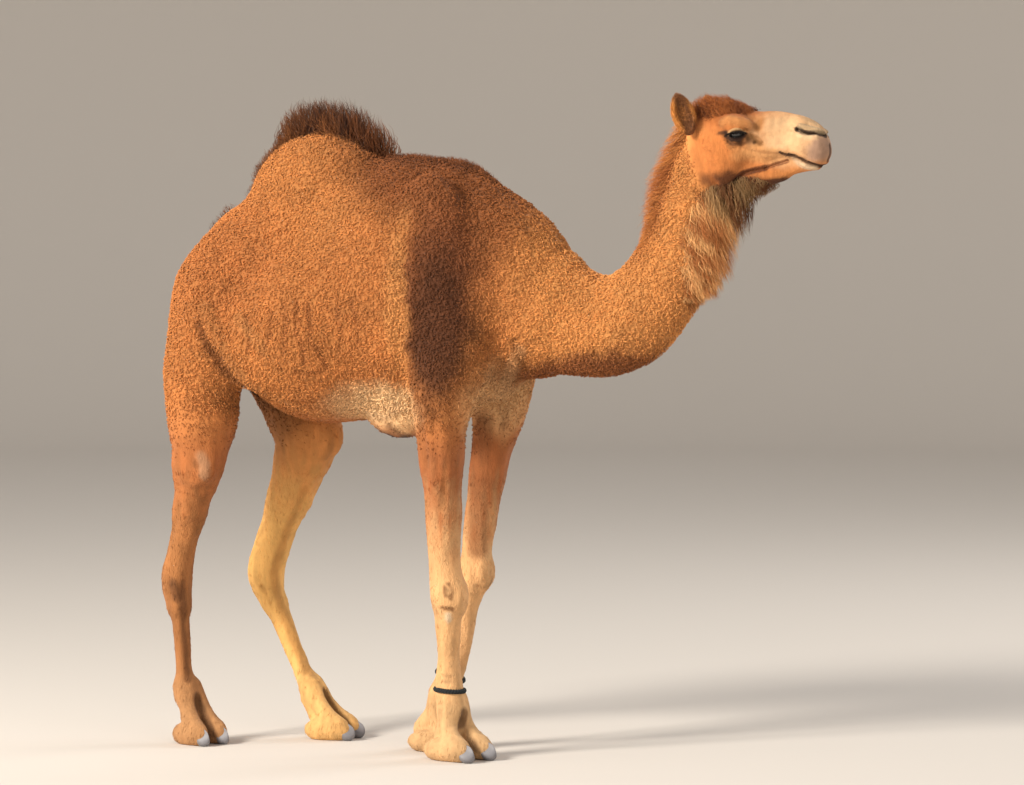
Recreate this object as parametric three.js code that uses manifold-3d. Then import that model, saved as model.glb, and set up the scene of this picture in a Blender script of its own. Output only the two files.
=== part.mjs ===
// A young adult dromedary standing still, at life size, in millimetres.
// +X points to its nose, +Y to its left and +Z up; it stands on Z = 0.
//
// The animal is one smooth field, built from muscles and bones as ellipsoids and tapered tubes that
// melt into each other. The field is meshed once for each named part, and thin plane cuts part the
// neighbours. Eyes, ears, nails and the hobble bands are separate bodies let into the flesh.

import * as THREE from "three";
import { mergeVertices } from "three/addons/utils/BufferGeometryUtils.js";
import Module from "manifold-3d";

const wasm = await Module();
wasm.setup();

// ---------------------------------------------------------------- driving dimensions

const CUT_GAP = 0.6; // width of the cut between two parts of the body
const LET_IN_GAP = 0.4; // room round an eye, an ear, a nail or a band where it is let into the flesh
const SWELL = [1.006, 1.01, 1.006]; // how much a neighbour is swollen before a body of hair is cut by it
const SOFT = 55; // how softly muscles of the trunk melt into each other
const GRID_TRIES = 16; // how often a mesh is tried before it is given up
const GRID_SHIFT = [0.618, 0.414, 0.732]; // in cells, how far the grid moves for each new try
const GRID_SHRINK = 0.96; // how much finer it gets
const FINE_GRID = 0.01; // corners of every part lie on this grid
const BALL_SIDES = 8;
const BALL_RINGS = 5;
const RIGHT = -1; // sign of Y on the animal's right
const LEFT = 1;

const TRUNK = {
  ribcage: { at: [335, 0, 1405], radii: [400, 275, 398] },
  belly: { at: [75, 0, 1290], radii: [335, 316, 296] },
  loin: { at: [-120, 0, 1450], radii: [270, 215, 250] },
  rump: { at: [-222, 0, 1375], radii: [252, 220, 205], tilt: -30 },
  hump: { at: [58, 0, 1645], radii: [268, 165, 258] },
  back: { at: [350, 0, 1570], radii: [150, 110, 245] },
  withers: { at: [490, 0, 1605], radii: [212, 105, 203] },
  breast: { at: [600, 0, 1330], radii: [185, 185, 265] },
  brisket: { at: [400, 0, 1100], radii: [180, 135, 115] },
  sternalPad: { at: [318, 0, 1012], radii: [82, 70, 56] },
  sheath: { at: [-165, 0, 1120], radii: [70, 38, 55] },
};
const SHOULDER = { at: [545, 150, 1440], radii: [140, 95, 330], tilt: -8 };
const UPPER_ARM = { at: [570, 160, 1200], radii: [125, 80, 180], tilt: 8 };
const FLANK_FOLD = { at: [-85, 205, 1250], radii: [150, 75, 150], tilt: 35 };
const HIP = { at: [-220, 128, 1462], radii: [145, 90, 125], tilt: -25 };

// Spines are lists of [x, y, z, radius]; flat is a tube's width over its depth.
const NECK = {
  flat: 0.7,
  spine: [
    [610, 0, 1450, 270],
    [760, 0, 1365, 218],
    [865, 0, 1332, 174],
    [985, 0, 1306, 158],
    [1090, 0, 1324, 150],
    [1180, 0, 1400, 137],
    [1245, 0, 1505, 122],
    [1280, 0, 1620, 110],
    [1310, 0, 1740, 100],
    [1362, 0, 1835, 92],
  ],
};

const SKULL = {
  cranium: { at: [1395, 0, 1888], radii: [92, 72, 74] },
  forehead: { at: [1450, 0, 1885], radii: [85, 66, 62] },
  bridge: { at: [1560, 0, 1886], radii: [120, 40, 52] },
  nose: { at: [1668, 0, 1862], radii: [62, 44, 50], tilt: 22 },
  upperLip: { at: [1703, 0, 1818], radii: [42, 44, 42] },
};
const BROW = { at: [1470, 66, 1898], radii: [52, 30, 30], tilt: 5 };
const CHEEK = { at: [1412, 40, 1805], radii: [72, 42, 92], tilt: 12 };
const LIP_SIDE = { at: [1655, 24, 1832], radii: [62, 30, 34], tilt: 0 };
const MUZZLE = {
  flat: 0.82,
  spine: [
    [1440, 0, 1848, 82],
    [1530, 0, 1850, 68],
    [1615, 0, 1855, 56],
    [1680, 0, 1846, 48],
  ],
};
const JAW = {
  flat: 0.85,
  spine: [
    [1410, 0, 1778, 56],
    [1500, 0, 1754, 42],
    [1575, 0, 1758, 32],
    [1625, 0, 1776, 26],
    [1690, 0, 1790, 27],
  ],
};
const EYE = { at: [1482, 77, 1870], radius: 21 };
const EAR = {
  at: [1318, 94, 1926],
  radii: [18, 33, 64],
  turn: 60,
  out: 8,
  back: -18,
  hollow: 13,
  rim: 6,
};

// A leg's spine runs from inside the trunk to the fetlock; its toes are worked out from its foot.
const LEGS = {
  fore_right: {
    side: RIGHT,
    spine: [
      [585, -165, 1210, 95],
      [558, -172, 1085, 92],
      [548, -160, 930, 72],
      [548, -148, 780, 56],
      [546, -138, 600, 50],
      [556, -134, 500, 56],
      [553, -128, 415, 40],
      [551, -122, 320, 35],
      [552, -118, 215, 44],
      [560, -116, 150, 44],
    ],
    knob: { at: [588, -134, 490], radii: [28, 34, 48] },
    foot: { at: [576, -115], length: 166, spread: 94, toe: 43, turn: 16 },
  },
  fore_left: {
    side: LEFT,
    spine: [
      [590, 165, 1210, 95],
      [576, 165, 1060, 86],
      [552, 142, 900, 62],
      [538, 125, 760, 53],
      [526, 108, 630, 48],
      [522, 100, 545, 54],
      [500, 88, 440, 38],
      [488, 76, 330, 35],
      [450, 62, 215, 43],
      [432, 55, 150, 44],
    ],
    knob: { at: [552, 99, 545], radii: [28, 34, 48] },
    foot: { at: [424, 52], length: 166, spread: 88, toe: 43, turn: 8 },
  },
  hind_right: {
    side: RIGHT,
    spine: [
      [-250, -130, 1380, 150],
      [-275, -178, 1180, 130],
      [-274, -190, 1040, 116],
      [-285, -192, 900, 88],
      [-318, -182, 755, 58],
      [-360, -172, 620, 43],
      [-387, -165, 505, 50],
      [-381, -163, 440, 42],
      [-375, -162, 370, 28],
      [-368, -160, 260, 26],
      [-360, -158, 150, 32],
    ],
    knob: { at: [-245, -236, 875], radii: [42, 22, 60] },
    foot: { at: [-316, -154], length: 128, spread: 78, toe: 35, turn: 18 },
  },
  hind_left: {
    side: LEFT,
    spine: [
      [-250, 130, 1380, 150],
      [-215, 178, 1180, 128],
      [-140, 188, 990, 112],
      [-130, 186, 920, 98],
      [-172, 178, 780, 76],
      [-222, 170, 650, 58],
      [-264, 164, 515, 60],
      [-238, 161, 430, 44],
      [-200, 158, 360, 33],
      [-140, 153, 240, 29],
      [-84, 150, 140, 35],
    ],
    knob: { at: [-52, 196, 945], radii: [50, 40, 66] },
    foot: { at: [-19, 148], length: 134, spread: 76, toe: 36, turn: 6 },
  },
};

const NAIL = { length: 27, width: 0.54, height: 23, lift: 25, tilt: 24 };

// The hobble bands: rings of rope round the two front pasterns.
const BANDS = {
  hobble_right: { leg: "fore_right", at: [553, -118, 208], radius: 43, rope: 7, tilt: 4 },
  hobble_left: { leg: "fore_left", at: [455, 63, 228], radius: 42, rope: 7, tilt: 22 },
};

const TAIL = {
  flat: 1,
  top: 1440,
  end: 1080,
  spine: [
    [-452, 0, 1412, 34],
    [-484, 0, 1360, 27],
    [-494, 0, 1260, 21],
    [-490, 0, 1130, 18],
    [-484, 0, 1040, 16],
  ],
};

// Bodies of long hair, out to the tips: what each grows from, and the middle that it grows away from.
const HAIR = {
  hump_tuft: {
    colour: "dark",
    cell: [74, 44, 58],
    region: { at: [80, 0, 1920], size: [600, 160, 340] },
    from: [
      ["hump", [40, 0, 1700]],
      ["trunk", [40, 0, 1450]],
    ],
    parts: [
      { at: [95, 0, 1925], radii: [165, 50, 68], tilt: 6 },
      { at: [225, 0, 1880], radii: [100, 45, 50], tilt: 35 },
      { at: [-48, 0, 1898], radii: [96, 42, 66], tilt: -50 },
    ],
  },
  topknot: {
    colour: "shag",
    cell: [46, 42, 36],
    region: { at: [1400, 0, 1930], size: [300, 140, 200] },
    from: [["head", [1430, 0, 1780]]],
    parts: [
      { at: [1380, 0, 1946], radii: [82, 50, 42], tilt: 4 },
      { at: [1440, 0, 1940], radii: [56, 44, 30], tilt: 22 },
    ],
  },
  nape_mane: {
    colour: "shag",
    cell: [60, 50, 92],
    region: { at: [1210, 0, 1730], size: [300, 200, 460] },
    from: [
      ["head", [1480, 0, 1830]],
      ["neck_upper", [1240, 0, 1800]],
      ["neck_upper", [1260, 0, 1640]],
      ["neck_lower", [1200, 0, 1450]],
    ],
    parts: [
      { at: [1182, 0, 1620], radii: [50, 58, 120], tilt: 12 },
      { at: [1212, 0, 1760], radii: [62, 60, 130], tilt: 18 },
      { at: [1275, 0, 1875], radii: [52, 52, 60], tilt: 40 },
    ],
  },
  beard: {
    colour: "shag",
    cell: [74, 56, 92],
    region: { at: [1400, 0, 1540], size: [360, 220, 460] },
    from: [
      ["head", [1480, 0, 1860]],
      ["lower_jaw", [1480, 0, 1860]],
      ["neck_upper", [1171, 0, 1821]],
      ["neck_lower", [1100, 0, 1500]],
    ],
    parts: [
      { at: [1366, 0, 1565], radii: [108, 74, 190], tilt: 10 },
      { at: [1415, 0, 1650], radii: [82, 62, 110], tilt: 0 },
      { at: [1492, 0, 1710], radii: [66, 44, 48], tilt: -6 },
      { at: [1345, 0, 1440], radii: [72, 60, 90], tilt: 20 },
    ],
  },
  tail_tuft: {
    colour: "dark",
    cell: [24, 22, 60],
    region: { at: [-484, 0, TAIL.end - 150], size: [120, 120, 300] },
    from: [],
    parts: [
      { at: [-485, 0, 1012], radii: [29, 26, 125], tilt: 0 },
      { at: [-482, 0, 930], radii: [20, 18, 60], tilt: 0 },
    ],
  },
};

const COLOURS = {
  wool: 0xb06a3a,
  neck: 0xc07a45,
  face: 0xd9a873,
  leg: 0xd2a472,
  foot: 0xdcb78c,
  dark: 0x4a2c1c,
  shag: 0xa06238,
  eye: 0x120b08,
  nail: 0x8b8680,
  rope: 0x2b2c30,
};

// ---------------------------------------------------------------- fields
// A field is a function of x, y and z: negative inside the flesh, and about the distance from it.

/** Distance from an ellipsoid, tilted about the Y axis by tilt degrees (nose down). */
function ellipsoid({ at, radii, tilt = 0 }, side = 1) {
  const [rx, ry, rz] = radii;
  const angle = THREE.MathUtils.degToRad(tilt);
  const cos = Math.cos(angle);
  const sin = Math.sin(angle);
  return (x, y, z) => {
    const dx = x - at[0];
    const dy = y - at[1] * side;
    const dz = z - at[2];
    const ux = (dx * cos - dz * sin) / rx;
    const uy = dy / ry;
    const uz = (dx * sin + dz * cos) / rz;
    const inner = Math.hypot(ux, uy, uz);
    const slope = Math.hypot(ux / rx, uy / ry, uz / rz);
    return slope < 1e-9 ? -Math.min(rx, ry, rz) : (inner * (inner - 1)) / slope;
  };
}

/** Distance from a tapered tube along a smooth spine; flat narrows it across the body. */
function tube({ spine, flat = 1 }, samples = 5) {
  const curve = new THREE.CatmullRomCurve3(
    spine.map(([x, y, z]) => new THREE.Vector3(x, y, z)),
    false,
    "catmullrom",
    0.5,
  );
  const count = (spine.length - 1) * samples;
  const beads = [];
  for (let i = 0; i <= count; i++) {
    const t = i / count;
    const where = t * (spine.length - 1);
    const k = Math.min(Math.floor(where), spine.length - 2);
    const radius = THREE.MathUtils.lerp(spine[k][3], spine[k + 1][3], smooth(where - k));
    beads.push({ p: curve.getPoint(t), radius });
  }
  return (x, y, z) => {
    let best = Infinity;
    for (let i = 0; i < count; i++) {
      const a = beads[i];
      const b = beads[i + 1];
      const abx = b.p.x - a.p.x;
      const aby = b.p.y - a.p.y;
      const abz = b.p.z - a.p.z;
      const along = (x - a.p.x) * abx + (y - a.p.y) * aby + (z - a.p.z) * abz;
      const h = THREE.MathUtils.clamp(along / (abx * abx + aby * aby + abz * abz), 0, 1);
      const dy = (y - a.p.y - aby * h) / flat;
      const away = Math.hypot(x - a.p.x - abx * h, dy, z - a.p.z - abz * h);
      best = Math.min(best, away - THREE.MathUtils.lerp(a.radius, b.radius, h));
    }
    return best;
  };
}

/** Eases 0..1 with no slope at its ends. */
function smooth(t) {
  return t * t * (3 - 2 * t);
}

/** The union of fields, melted together over a distance. */
function melt(distance, ...fields) {
  return (x, y, z) => {
    let found = fields[0](x, y, z);
    for (let i = 1; i < fields.length; i++) {
      const next = fields[i](x, y, z);
      const h = Math.max(distance - Math.abs(found - next), 0) / distance;
      found = Math.min(found, next) - (h * h * distance) / 4;
    }
    return found;
  };
}

/** The same muscle on both sides of the body. */
function pair(muscle) {
  return [ellipsoid(muscle, RIGHT), ellipsoid(muscle, LEFT)];
}

/** A field turned about an upright axis through a place on the floor. */
function turned(field, [cx, cy], degrees) {
  const angle = THREE.MathUtils.degToRad(degrees);
  const cos = Math.cos(angle);
  const sin = Math.sin(angle);
  return (x, y, z) => {
    const dx = x - cx;
    const dy = y - cy;
    return field(cx + dx * cos + dy * sin, cy - dx * sin + dy * cos, z);
  };
}

/** A foot's two toes, their pads and the heel between them, as one field. */
function toes({ foot, spine, side: out }) {
  const [fx, fy] = foot.at;
  const pastern = spine[spine.length - 1];
  const fields = [];
  for (const side of [RIGHT, LEFT]) {
    const y = fy + (side * foot.spread) / 2;
    const pad = { at: [fx - 6, y, 30], radii: [foot.length / 2, foot.toe, 40] };
    const tip = { at: [fx + foot.length * 0.36, y, 30], radii: [38, foot.toe * 0.72, 34] };
    const digit = {
      spine: [
        [pastern[0], pastern[1] + side * 16, pastern[2] + 20, 31],
        [pastern[0] * 0.35 + fx * 0.65 + 8, y - side * 9, 92, 28],
        [fx + foot.length * 0.28, y, 48, 27],
      ],
    };
    fields.push(melt(22, ellipsoid(pad), ellipsoid(tip), tube(digit)));
  }
  const heel = {
    spine: [
      [pastern[0], pastern[1], pastern[2] - 20, foot.toe * 0.92],
      [fx - foot.length * 0.26, fy, 62, foot.toe * 0.98],
    ],
  };
  return turned(melt(12, melt(10, ...fields), tube(heel)), foot.at, out * foot.turn);
}

const trunkField = melt(
  SOFT,
  ...Object.values(TRUNK).map((muscle) => ellipsoid(muscle)),
  ...pair(SHOULDER),
  ...pair(UPPER_ARM),
  ...pair(FLANK_FOLD),
  ...pair(HIP),
);
const headField = melt(
  26,
  ...Object.values(SKULL).map((bone) => ellipsoid(bone)),
  ...pair(BROW),
  ...pair(CHEEK),
  ...pair(LIP_SIDE),
  tube(MUZZLE),
  tube(JAW),
);
const neckField = tube(NECK);
const bodyField = melt(SOFT, trunkField, neckField);
const frontField = melt(45, neckField, headField);

const legFields = {};
for (const [name, leg] of Object.entries(LEGS)) {
  const shank = melt(26, tube(leg), ellipsoid(leg.knob));
  legFields[name] = melt(30, shank, toes(leg));
}

// ---------------------------------------------------------------- meshing and solids

/** Meshes a field's zero surface inside a box, one vertex to each cell that it crosses. */
function surfaceNet(field, box, cell) {
  const size = box.getSize(new THREE.Vector3()).toArray();
  const low = box.min.toArray();
  const n = size.map((s, k) => Math.max(2, Math.ceil(s / cell[k])) + 3);
  const at = (k, i) => low[k] + (i - 1) * cell[k];
  const index = (i, j, k) => i + n[0] * (j + n[1] * k);
  const value = new Float64Array(n[0] * n[1] * n[2]);
  for (let k = 0; k < n[2]; k++)
    for (let j = 0; j < n[1]; j++)
      for (let i = 0; i < n[0]; i++) {
        const edge = i * j * k === 0 || i === n[0] - 1 || j === n[1] - 1 || k === n[2] - 1;
        const found = field(at(0, i), at(1, j), at(2, k));
        value[index(i, j, k)] = edge ? Math.max(found, 1) : found;
      }

  const vertex = new Map();
  const positions = [];
  const steps = [1, n[0], n[0] * n[1]];
  for (let k = 0; k < n[2] - 1; k++)
    for (let j = 0; j < n[1] - 1; j++)
      for (let i = 0; i < n[0] - 1; i++) {
        const base = index(i, j, k);
        const sum = [0, 0, 0];
        let hits = 0;
        for (let axis = 0; axis < 3; axis++) {
          const [u, v] = [(axis + 1) % 3, (axis + 2) % 3];
          for (let corner = 0; corner < 4; corner++) {
            const du = corner & 1;
            const dv = corner >> 1;
            const a = base + du * steps[u] + dv * steps[v];
            const va = value[a];
            const vb = value[a + steps[axis]];
            if (va < 0 === vb < 0) continue;
            sum[axis] += va / (va - vb);
            sum[u] += du;
            sum[v] += dv;
            hits++;
          }
        }
        if (!hits) continue;
        vertex.set(base, positions.length / 3);
        const cellAt = [i, j, k];
        const middle = sum.map((total, axis) => at(axis, cellAt[axis] + total / hits));
        positions.push(...settle(field, middle, Math.min(...cell) / 2));
      }

  const faces = [];
  for (let k = 0; k < n[2] - 1; k++)
    for (let j = 0; j < n[1] - 1; j++)
      for (let i = 0; i < n[0] - 1; i++) {
        const base = index(i, j, k);
        const cellAt = [i, j, k];
        for (let axis = 0; axis < 3; axis++) {
          const [across, up] = [(axis + 1) % 3, (axis + 2) % 3];
          const inside = value[base] < 0;
          if (cellAt[across] * cellAt[up] === 0) continue;
          if (inside === value[base + steps[axis]] < 0) continue;
          const u = steps[across];
          const v = steps[up];
          const quad = [base - u - v, base - v, base, base - u].map((c) => vertex.get(c));
          if (!inside) quad.reverse();
          faces.push(quad[0], quad[1], quad[2], quad[0], quad[2], quad[3]);
        }
      }

  return new THREE.BufferGeometry()
    .setAttribute("position", new THREE.Float32BufferAttribute(positions, 3))
    .setIndex(faces);
}

/** Moves a point onto a field's zero surface, by no more than a reach. */
function settle(field, point, reach) {
  const step = 1;
  const [x, y, z] = point;
  const here = field(x, y, z);
  const slope = new THREE.Vector3(
    field(x + step, y, z) - here,
    field(x, y + step, z) - here,
    field(x, y, z + step) - here,
  ).divideScalar(step);
  const away = THREE.MathUtils.clamp(here / Math.max(slope.lengthSq(), 0.2), -reach, reach);
  return [x - slope.x * away, y - slope.y * away, z - slope.z * away];
}

/** A closed geometry as a solid that can be cut and joined. */
function solidOf(geometry) {
  const bare = geometry.clone();
  bare.deleteAttribute("normal");
  bare.deleteAttribute("uv");
  const merged = mergeVertices(bare, 1e-3);
  return new wasm.Manifold(
    new wasm.Mesh({
      numProp: 3,
      vertProperties: merged.attributes.position.array,
      triVerts: new Uint32Array(merged.index.array),
    }),
  );
}

/** A solid's largest body, without the crumbs that a cut can leave. */
function largest(solid) {
  return solid.decompose().sort((a, b) => b.volume() - a.volume())[0];
}

/** A block to cut with: its centre, its size and its tilt about the Y axis in degrees. */
function block({ at, size, tilt = 0 }, grow = 0) {
  const geometry = new THREE.BoxGeometry(...size.map((s) => s + grow));
  geometry.rotateY(THREE.MathUtils.degToRad(tilt));
  geometry.translate(...at);
  return geometry;
}

/** Whether more than two faces of a mesh meet on one edge. */
function isPinched(geometry) {
  const corners = geometry.index.array;
  const meetings = new Map();
  for (let i = 0; i < corners.length; i++) {
    const next = i % 3 === 2 ? i - 2 : i + 1;
    const key = [corners[i], corners[next]].sort((a, b) => a - b).join();
    meetings.set(key, (meetings.get(key) ?? 0) + 1);
  }
  return [...meetings.values()].some((count) => count > 2);
}

/** Meshes a field in a room. A grid that pinches the surface is moved, made finer and tried again. */
function netSolid(field, room, cell) {
  for (let turn = 0; turn < GRID_TRIES; turn++) {
    const finer = cell.map((length) => length * GRID_SHRINK ** turn);
    const shift = new THREE.Vector3(...GRID_SHIFT.map((part, k) => ((turn * part) % 1) * finer[k]));
    const net = surfaceNet(field, new THREE.Box3(room.min.clone().sub(shift), room.max), finer);
    if (!isPinched(net)) return solidOf(net);
  }
  throw new Error("every grid pinches the surface");
}

/** Meshes a field in a block's room and trims it to the block. */
function fleshIn(field, region, cell) {
  const inner = block(region, -CUT_GAP);
  inner.computeBoundingBox();
  const room = inner.boundingBox.expandByScalar(Math.max(...cell));
  room.min.z = Math.max(room.min.z, -2 * cell[2]);
  return netSolid(field, room, cell).intersect(solidOf(inner));
}

/** An ellipsoid body from the sphere geometry. */
function ball(at, radii, tilt = 0) {
  const geometry = new THREE.SphereGeometry(1, BALL_SIDES, BALL_RINGS);
  geometry.rotateX(Math.PI / 2);
  geometry.scale(...radii);
  geometry.rotateY(THREE.MathUtils.degToRad(tilt));
  geometry.translate(...at);
  return geometry;
}

/** A ring of rope round a leg, thickened by a room. */
function ring({ at, radius, rope, tilt }, room) {
  const geometry = new THREE.TorusGeometry(radius, rope + room, 4, 8);
  geometry.rotateY(THREE.MathUtils.degToRad(tilt));
  return solidOf(geometry.translate(...at));
}

// ---------------------------------------------------------------- the parts

// Each region is a block that holds one part of the body; earlier regions are cut from later ones.
const FLOOR = { at: [600, 0, 1500], size: [3400, 1200, 3000] };
const HEAD_CUT = { at: [1640, 0, 1990], size: [560, 420, 640], tilt: 24 };
const LOWER_JAW = { at: [1597, 0, 1640], size: [400, 300, 300], tilt: -10 };
const NECK_UPPER = { at: [1560, 0, 1770], size: [800, 500, 800], tilt: 22 };
const NECK_LOWER = { at: [1290, 0, 1500], size: [900, 620, 1300], tilt: 4 };
const HUMP = { at: [20, 0, 1925], size: [700, 520, 560], tilt: -4 };

const REGIONS = {
  head: { at: HEAD_CUT, cell: [33, 27, 28], field: frontField, colour: "face" },
  neck_upper: { at: NECK_UPPER, cell: [52, 42, 60], field: frontField, colour: "neck" },
  neck_lower: { at: NECK_LOWER, cell: [74, 56, 60], field: bodyField, colour: "neck" },
  hump: { at: HUMP, cell: [80, 60, 70], field: bodyField, colour: "wool" },
};

const CELLS = {
  trunk: [104, 78, 92],
  upper: [46, 40, 88],
  lower: [30, 27, 84],
  foot: [50, 37, 50],
  tail: [19, 19, 70],
};

/** The solid of everything in some regions, to cut from a part. */
function regionsSolid(regions, grow = CUT_GAP) {
  return regions
    .map((region) => solidOf(block(region, grow)))
    .reduce((whole, next) => whole.add(next));
}

const LEG_TOP = { fore: 985, hind: 975 };
const KNEE = { fore: 585, hind: 600 };
const FETLOCK = { fore: 190, hind: 130 };

/** A leg's three blocks, from the trunk to the floor. */
function legRegions(name, { side, spine, foot }) {
  const kind = name.startsWith("fore") ? "fore" : "hind";
  const span = (low, high, length, width) => {
    const inside = spine.filter((p) => p[2] >= low - 90 && p[2] <= high + 90);
    const x = inside.reduce((sum, p) => sum + p[0], 0) / inside.length;
    const y = inside.reduce((sum, p) => sum + p[1], 0) / inside.length;
    return { at: [x, y + (side * width) / 8, (low + high) / 2], size: [length, width, high - low] };
  };
  return {
    upper: span(KNEE[kind], LEG_TOP[kind], 380, 250),
    lower: span(FETLOCK[kind], KNEE[kind], 420, 240),
    foot: {
      at: [foot.at[0], foot.at[1], FETLOCK[kind] / 2 - CUT_GAP / 4],
      size: [420, 240, FETLOCK[kind] + CUT_GAP / 2],
    },
  };
}

const camel = new THREE.Group();
camel.name = "dromedary";
const solids = {};

/** Adds a solid to the model under its name. */
function add(name, solid, colour, roughness = 0.9) {
  solids[name] = solid;
  const geometry = geometryOf(solid);
  const material = new THREE.MeshStandardMaterial({
    color: COLOURS[colour],
    roughness,
    metalness: 0,
  });
  const mesh = new THREE.Mesh(geometry, material);
  mesh.name = name;
  camel.add(mesh);
  return mesh;
}

/** A copy of a solid grown a little away from a point, to cut its neighbour with. */
function swollen(solid, from) {
  const geometry = geometryOf(solid);
  geometry.translate(-from[0], -from[1], -from[2]);
  geometry.scale(...SWELL);
  geometry.translate(...from);
  return solidOf(geometry);
}

/** A body that grows from the flesh: a field's mesh less each neighbour, swollen from its middle. */
function grownBody(field, region, cell, neighbours) {
  const whole = fleshIn(field, region, cell);
  const bare = neighbours.reduce(
    (left, [part, from]) => left.subtract(swollen(solids[part], from)),
    whole,
  );
  return largest(bare);
}

/** A solid as a geometry with its corners on a fine grid, less the slivers that close up on it. */
function geometryOf(solid) {
  const { numProp, vertProperties, triVerts } = solid.getMesh();
  const corners = new Map();
  const positions = [];
  const cornerOf = (vertex) => {
    const steps = [0, 1, 2].map((k) => Math.round(vertProperties[vertex * numProp + k] / FINE_GRID));
    const key = steps.join();
    if (!corners.has(key)) {
      corners.set(key, positions.length / 3);
      positions.push(...steps.map((step) => step * FINE_GRID));
    }
    return corners.get(key);
  };
  const faces = new Map();
  for (let i = 0; i < triVerts.length; i += 3) {
    const face = [...triVerts.slice(i, i + 3)].map(cornerOf);
    if (new Set(face).size < 3) continue;
    const key = face.toSorted((m, n) => m - n).join();
    if (faces.has(key)) faces.delete(key);
    else faces.set(key, face);
  }
  return new THREE.BufferGeometry()
    .setAttribute("position", new THREE.Float32BufferAttribute(positions, 3))
    .setIndex([...faces.values()].flat());
}

// Head, jaw, eyes and ears
const letIn = (bodies) => bodies.reduce((all, next) => all.add(next));
const eyeBall = (side, room) =>
  solidOf(ball([EYE.at[0], side * EYE.at[1], EYE.at[2]], Array(3).fill(EYE.radius + room)));
const earBall = (side, thinner, forward) => {
  const geometry = ball([forward, 0, 0], EAR.radii.map((r) => r - thinner));
  geometry.rotateZ(THREE.MathUtils.degToRad(side * EAR.turn));
  geometry.rotateX(THREE.MathUtils.degToRad(-side * EAR.out));
  geometry.rotateY(THREE.MathUtils.degToRad(EAR.back));
  return solidOf(geometry.translate(EAR.at[0], side * EAR.at[1], EAR.at[2]));
};
const sockets = [RIGHT, LEFT].flatMap((side) => [
  eyeBall(side, LET_IN_GAP),
  earBall(side, -LET_IN_GAP, 0),
]);
const skull = fleshIn(REGIONS.head.field, HEAD_CUT, REGIONS.head.cell).subtract(letIn(sockets));
add("head", largest(skull.subtract(solidOf(block(LOWER_JAW, CUT_GAP)))), "face");
add("lower_jaw", largest(skull.intersect(solidOf(block(LOWER_JAW)))), "face");
for (const [name, side] of [["right", RIGHT], ["left", LEFT]]) {
  add(`eye_${name}`, eyeBall(side, 0), "eye", 0.08);
  const hollow = earBall(side, EAR.rim, EAR.hollow);
  add(`ear_${name}`, largest(earBall(side, 0, 0).subtract(hollow)), "face");
}

// Neck and hump
const cutBefore = [HEAD_CUT];
for (const name of ["neck_upper", "neck_lower", "hump"]) {
  const { at, cell, field, colour } = REGIONS[name];
  const flesh = fleshIn(field, at, cell).subtract(regionsSolid(cutBefore));
  add(name, largest(flesh), colour);
  cutBefore.push(at);
}

// Legs, feet and nails
const legBlocks = [];
for (const [name, leg] of Object.entries(LEGS)) {
  const regions = legRegions(name, leg);
  const field = melt(45, bodyField, legFields[name]);
  const { foot } = leg;
  const nail = (side, room) => {
    const radii = [NAIL.length, foot.toe * NAIL.width, NAIL.height].map((r) => r + room);
    const horn = ball([foot.length * 0.53, (side * foot.spread) / 2, NAIL.lift], radii, NAIL.tilt);
    horn.rotateZ(THREE.MathUtils.degToRad(leg.side * foot.turn));
    return solidOf(horn.translate(foot.at[0], foot.at[1], 0));
  };
  const nailRoom = letIn([RIGHT, LEFT].map((side) => nail(side, LET_IN_GAP)));
  const upper = fleshIn(field, regions.upper, CELLS.upper);
  const band = Object.keys(BANDS).find((key) => BANDS[key].leg === name);
  const shank = fleshIn(legFields[name], regions.lower, CELLS.lower);
  const lower = band ? shank.subtract(ring(BANDS[band], LET_IN_GAP)) : shank;
  if (band) add(band, ring(BANDS[band], 0), "rope", 0.8);
  const sole = fleshIn(legFields[name], regions.foot, CELLS.foot).subtract(nailRoom);
  add(`${name}_upper`, largest(upper), "leg");
  add(`${name}_lower`, largest(lower), "leg");
  add(`${name}_foot`, largest(sole), "foot");
  for (const side of [RIGHT, LEFT]) {
    const place = side === leg.side ? "outer" : "inner";
    add(`nail_${name}_${place}`, nail(side, 0).intersect(solidOf(block(FLOOR))), "nail", 0.45);
  }
  legBlocks.push(regions.upper);
}

// Trunk
const trunkRoom = { at: [120, 0, 1420], size: [1500, 900, 1100] };
const trunk = fleshIn(melt(45, bodyField, ...Object.values(legFields)), trunkRoom, CELLS.trunk)
  .subtract(regionsSolid([...legBlocks, ...cutBefore]));
add("trunk", largest(trunk), "wool");

// Tail
const tailRoom = { at: [-470, 0, 1260], size: [240, 160, TAIL.top - TAIL.end] };
const tail = grownBody(tube(TAIL), tailRoom, CELLS.tail, [["trunk", [-100, 0, 1400]]]);
add("tail", tail, "wool");

// Long hair
const growing = [];
for (const [name, { cell, parts, region, from, colour }] of Object.entries(HAIR)) {
  const field = melt(30, ...parts.map((part) => ellipsoid(part)));
  add(name, grownBody(field, region, cell, [...from, ...growing]), colour);
  growing.push([name, parts[0].at]);
}

// The origin is on the floor under the middle.
const extent = new THREE.Box3().setFromObject(camel);
const middle = extent.getCenter(new THREE.Vector3());
camel.position.set(-middle.x, -middle.y, -extent.min.z);

export default camel;
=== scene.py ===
"""A life-size dromedary standing still: one skin, a coat of solid tufts, eyes, nails and rope bands.

Shapes are worked out in millimetres in the drawing frame of the part's solids, where the nose points
to +X and the floor is Z = 0, and go into meshes in metres in the row frame.
"""

import logging
import math
from dataclasses import dataclass
from enum import Enum, IntEnum
from typing import Callable, Sequence

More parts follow.
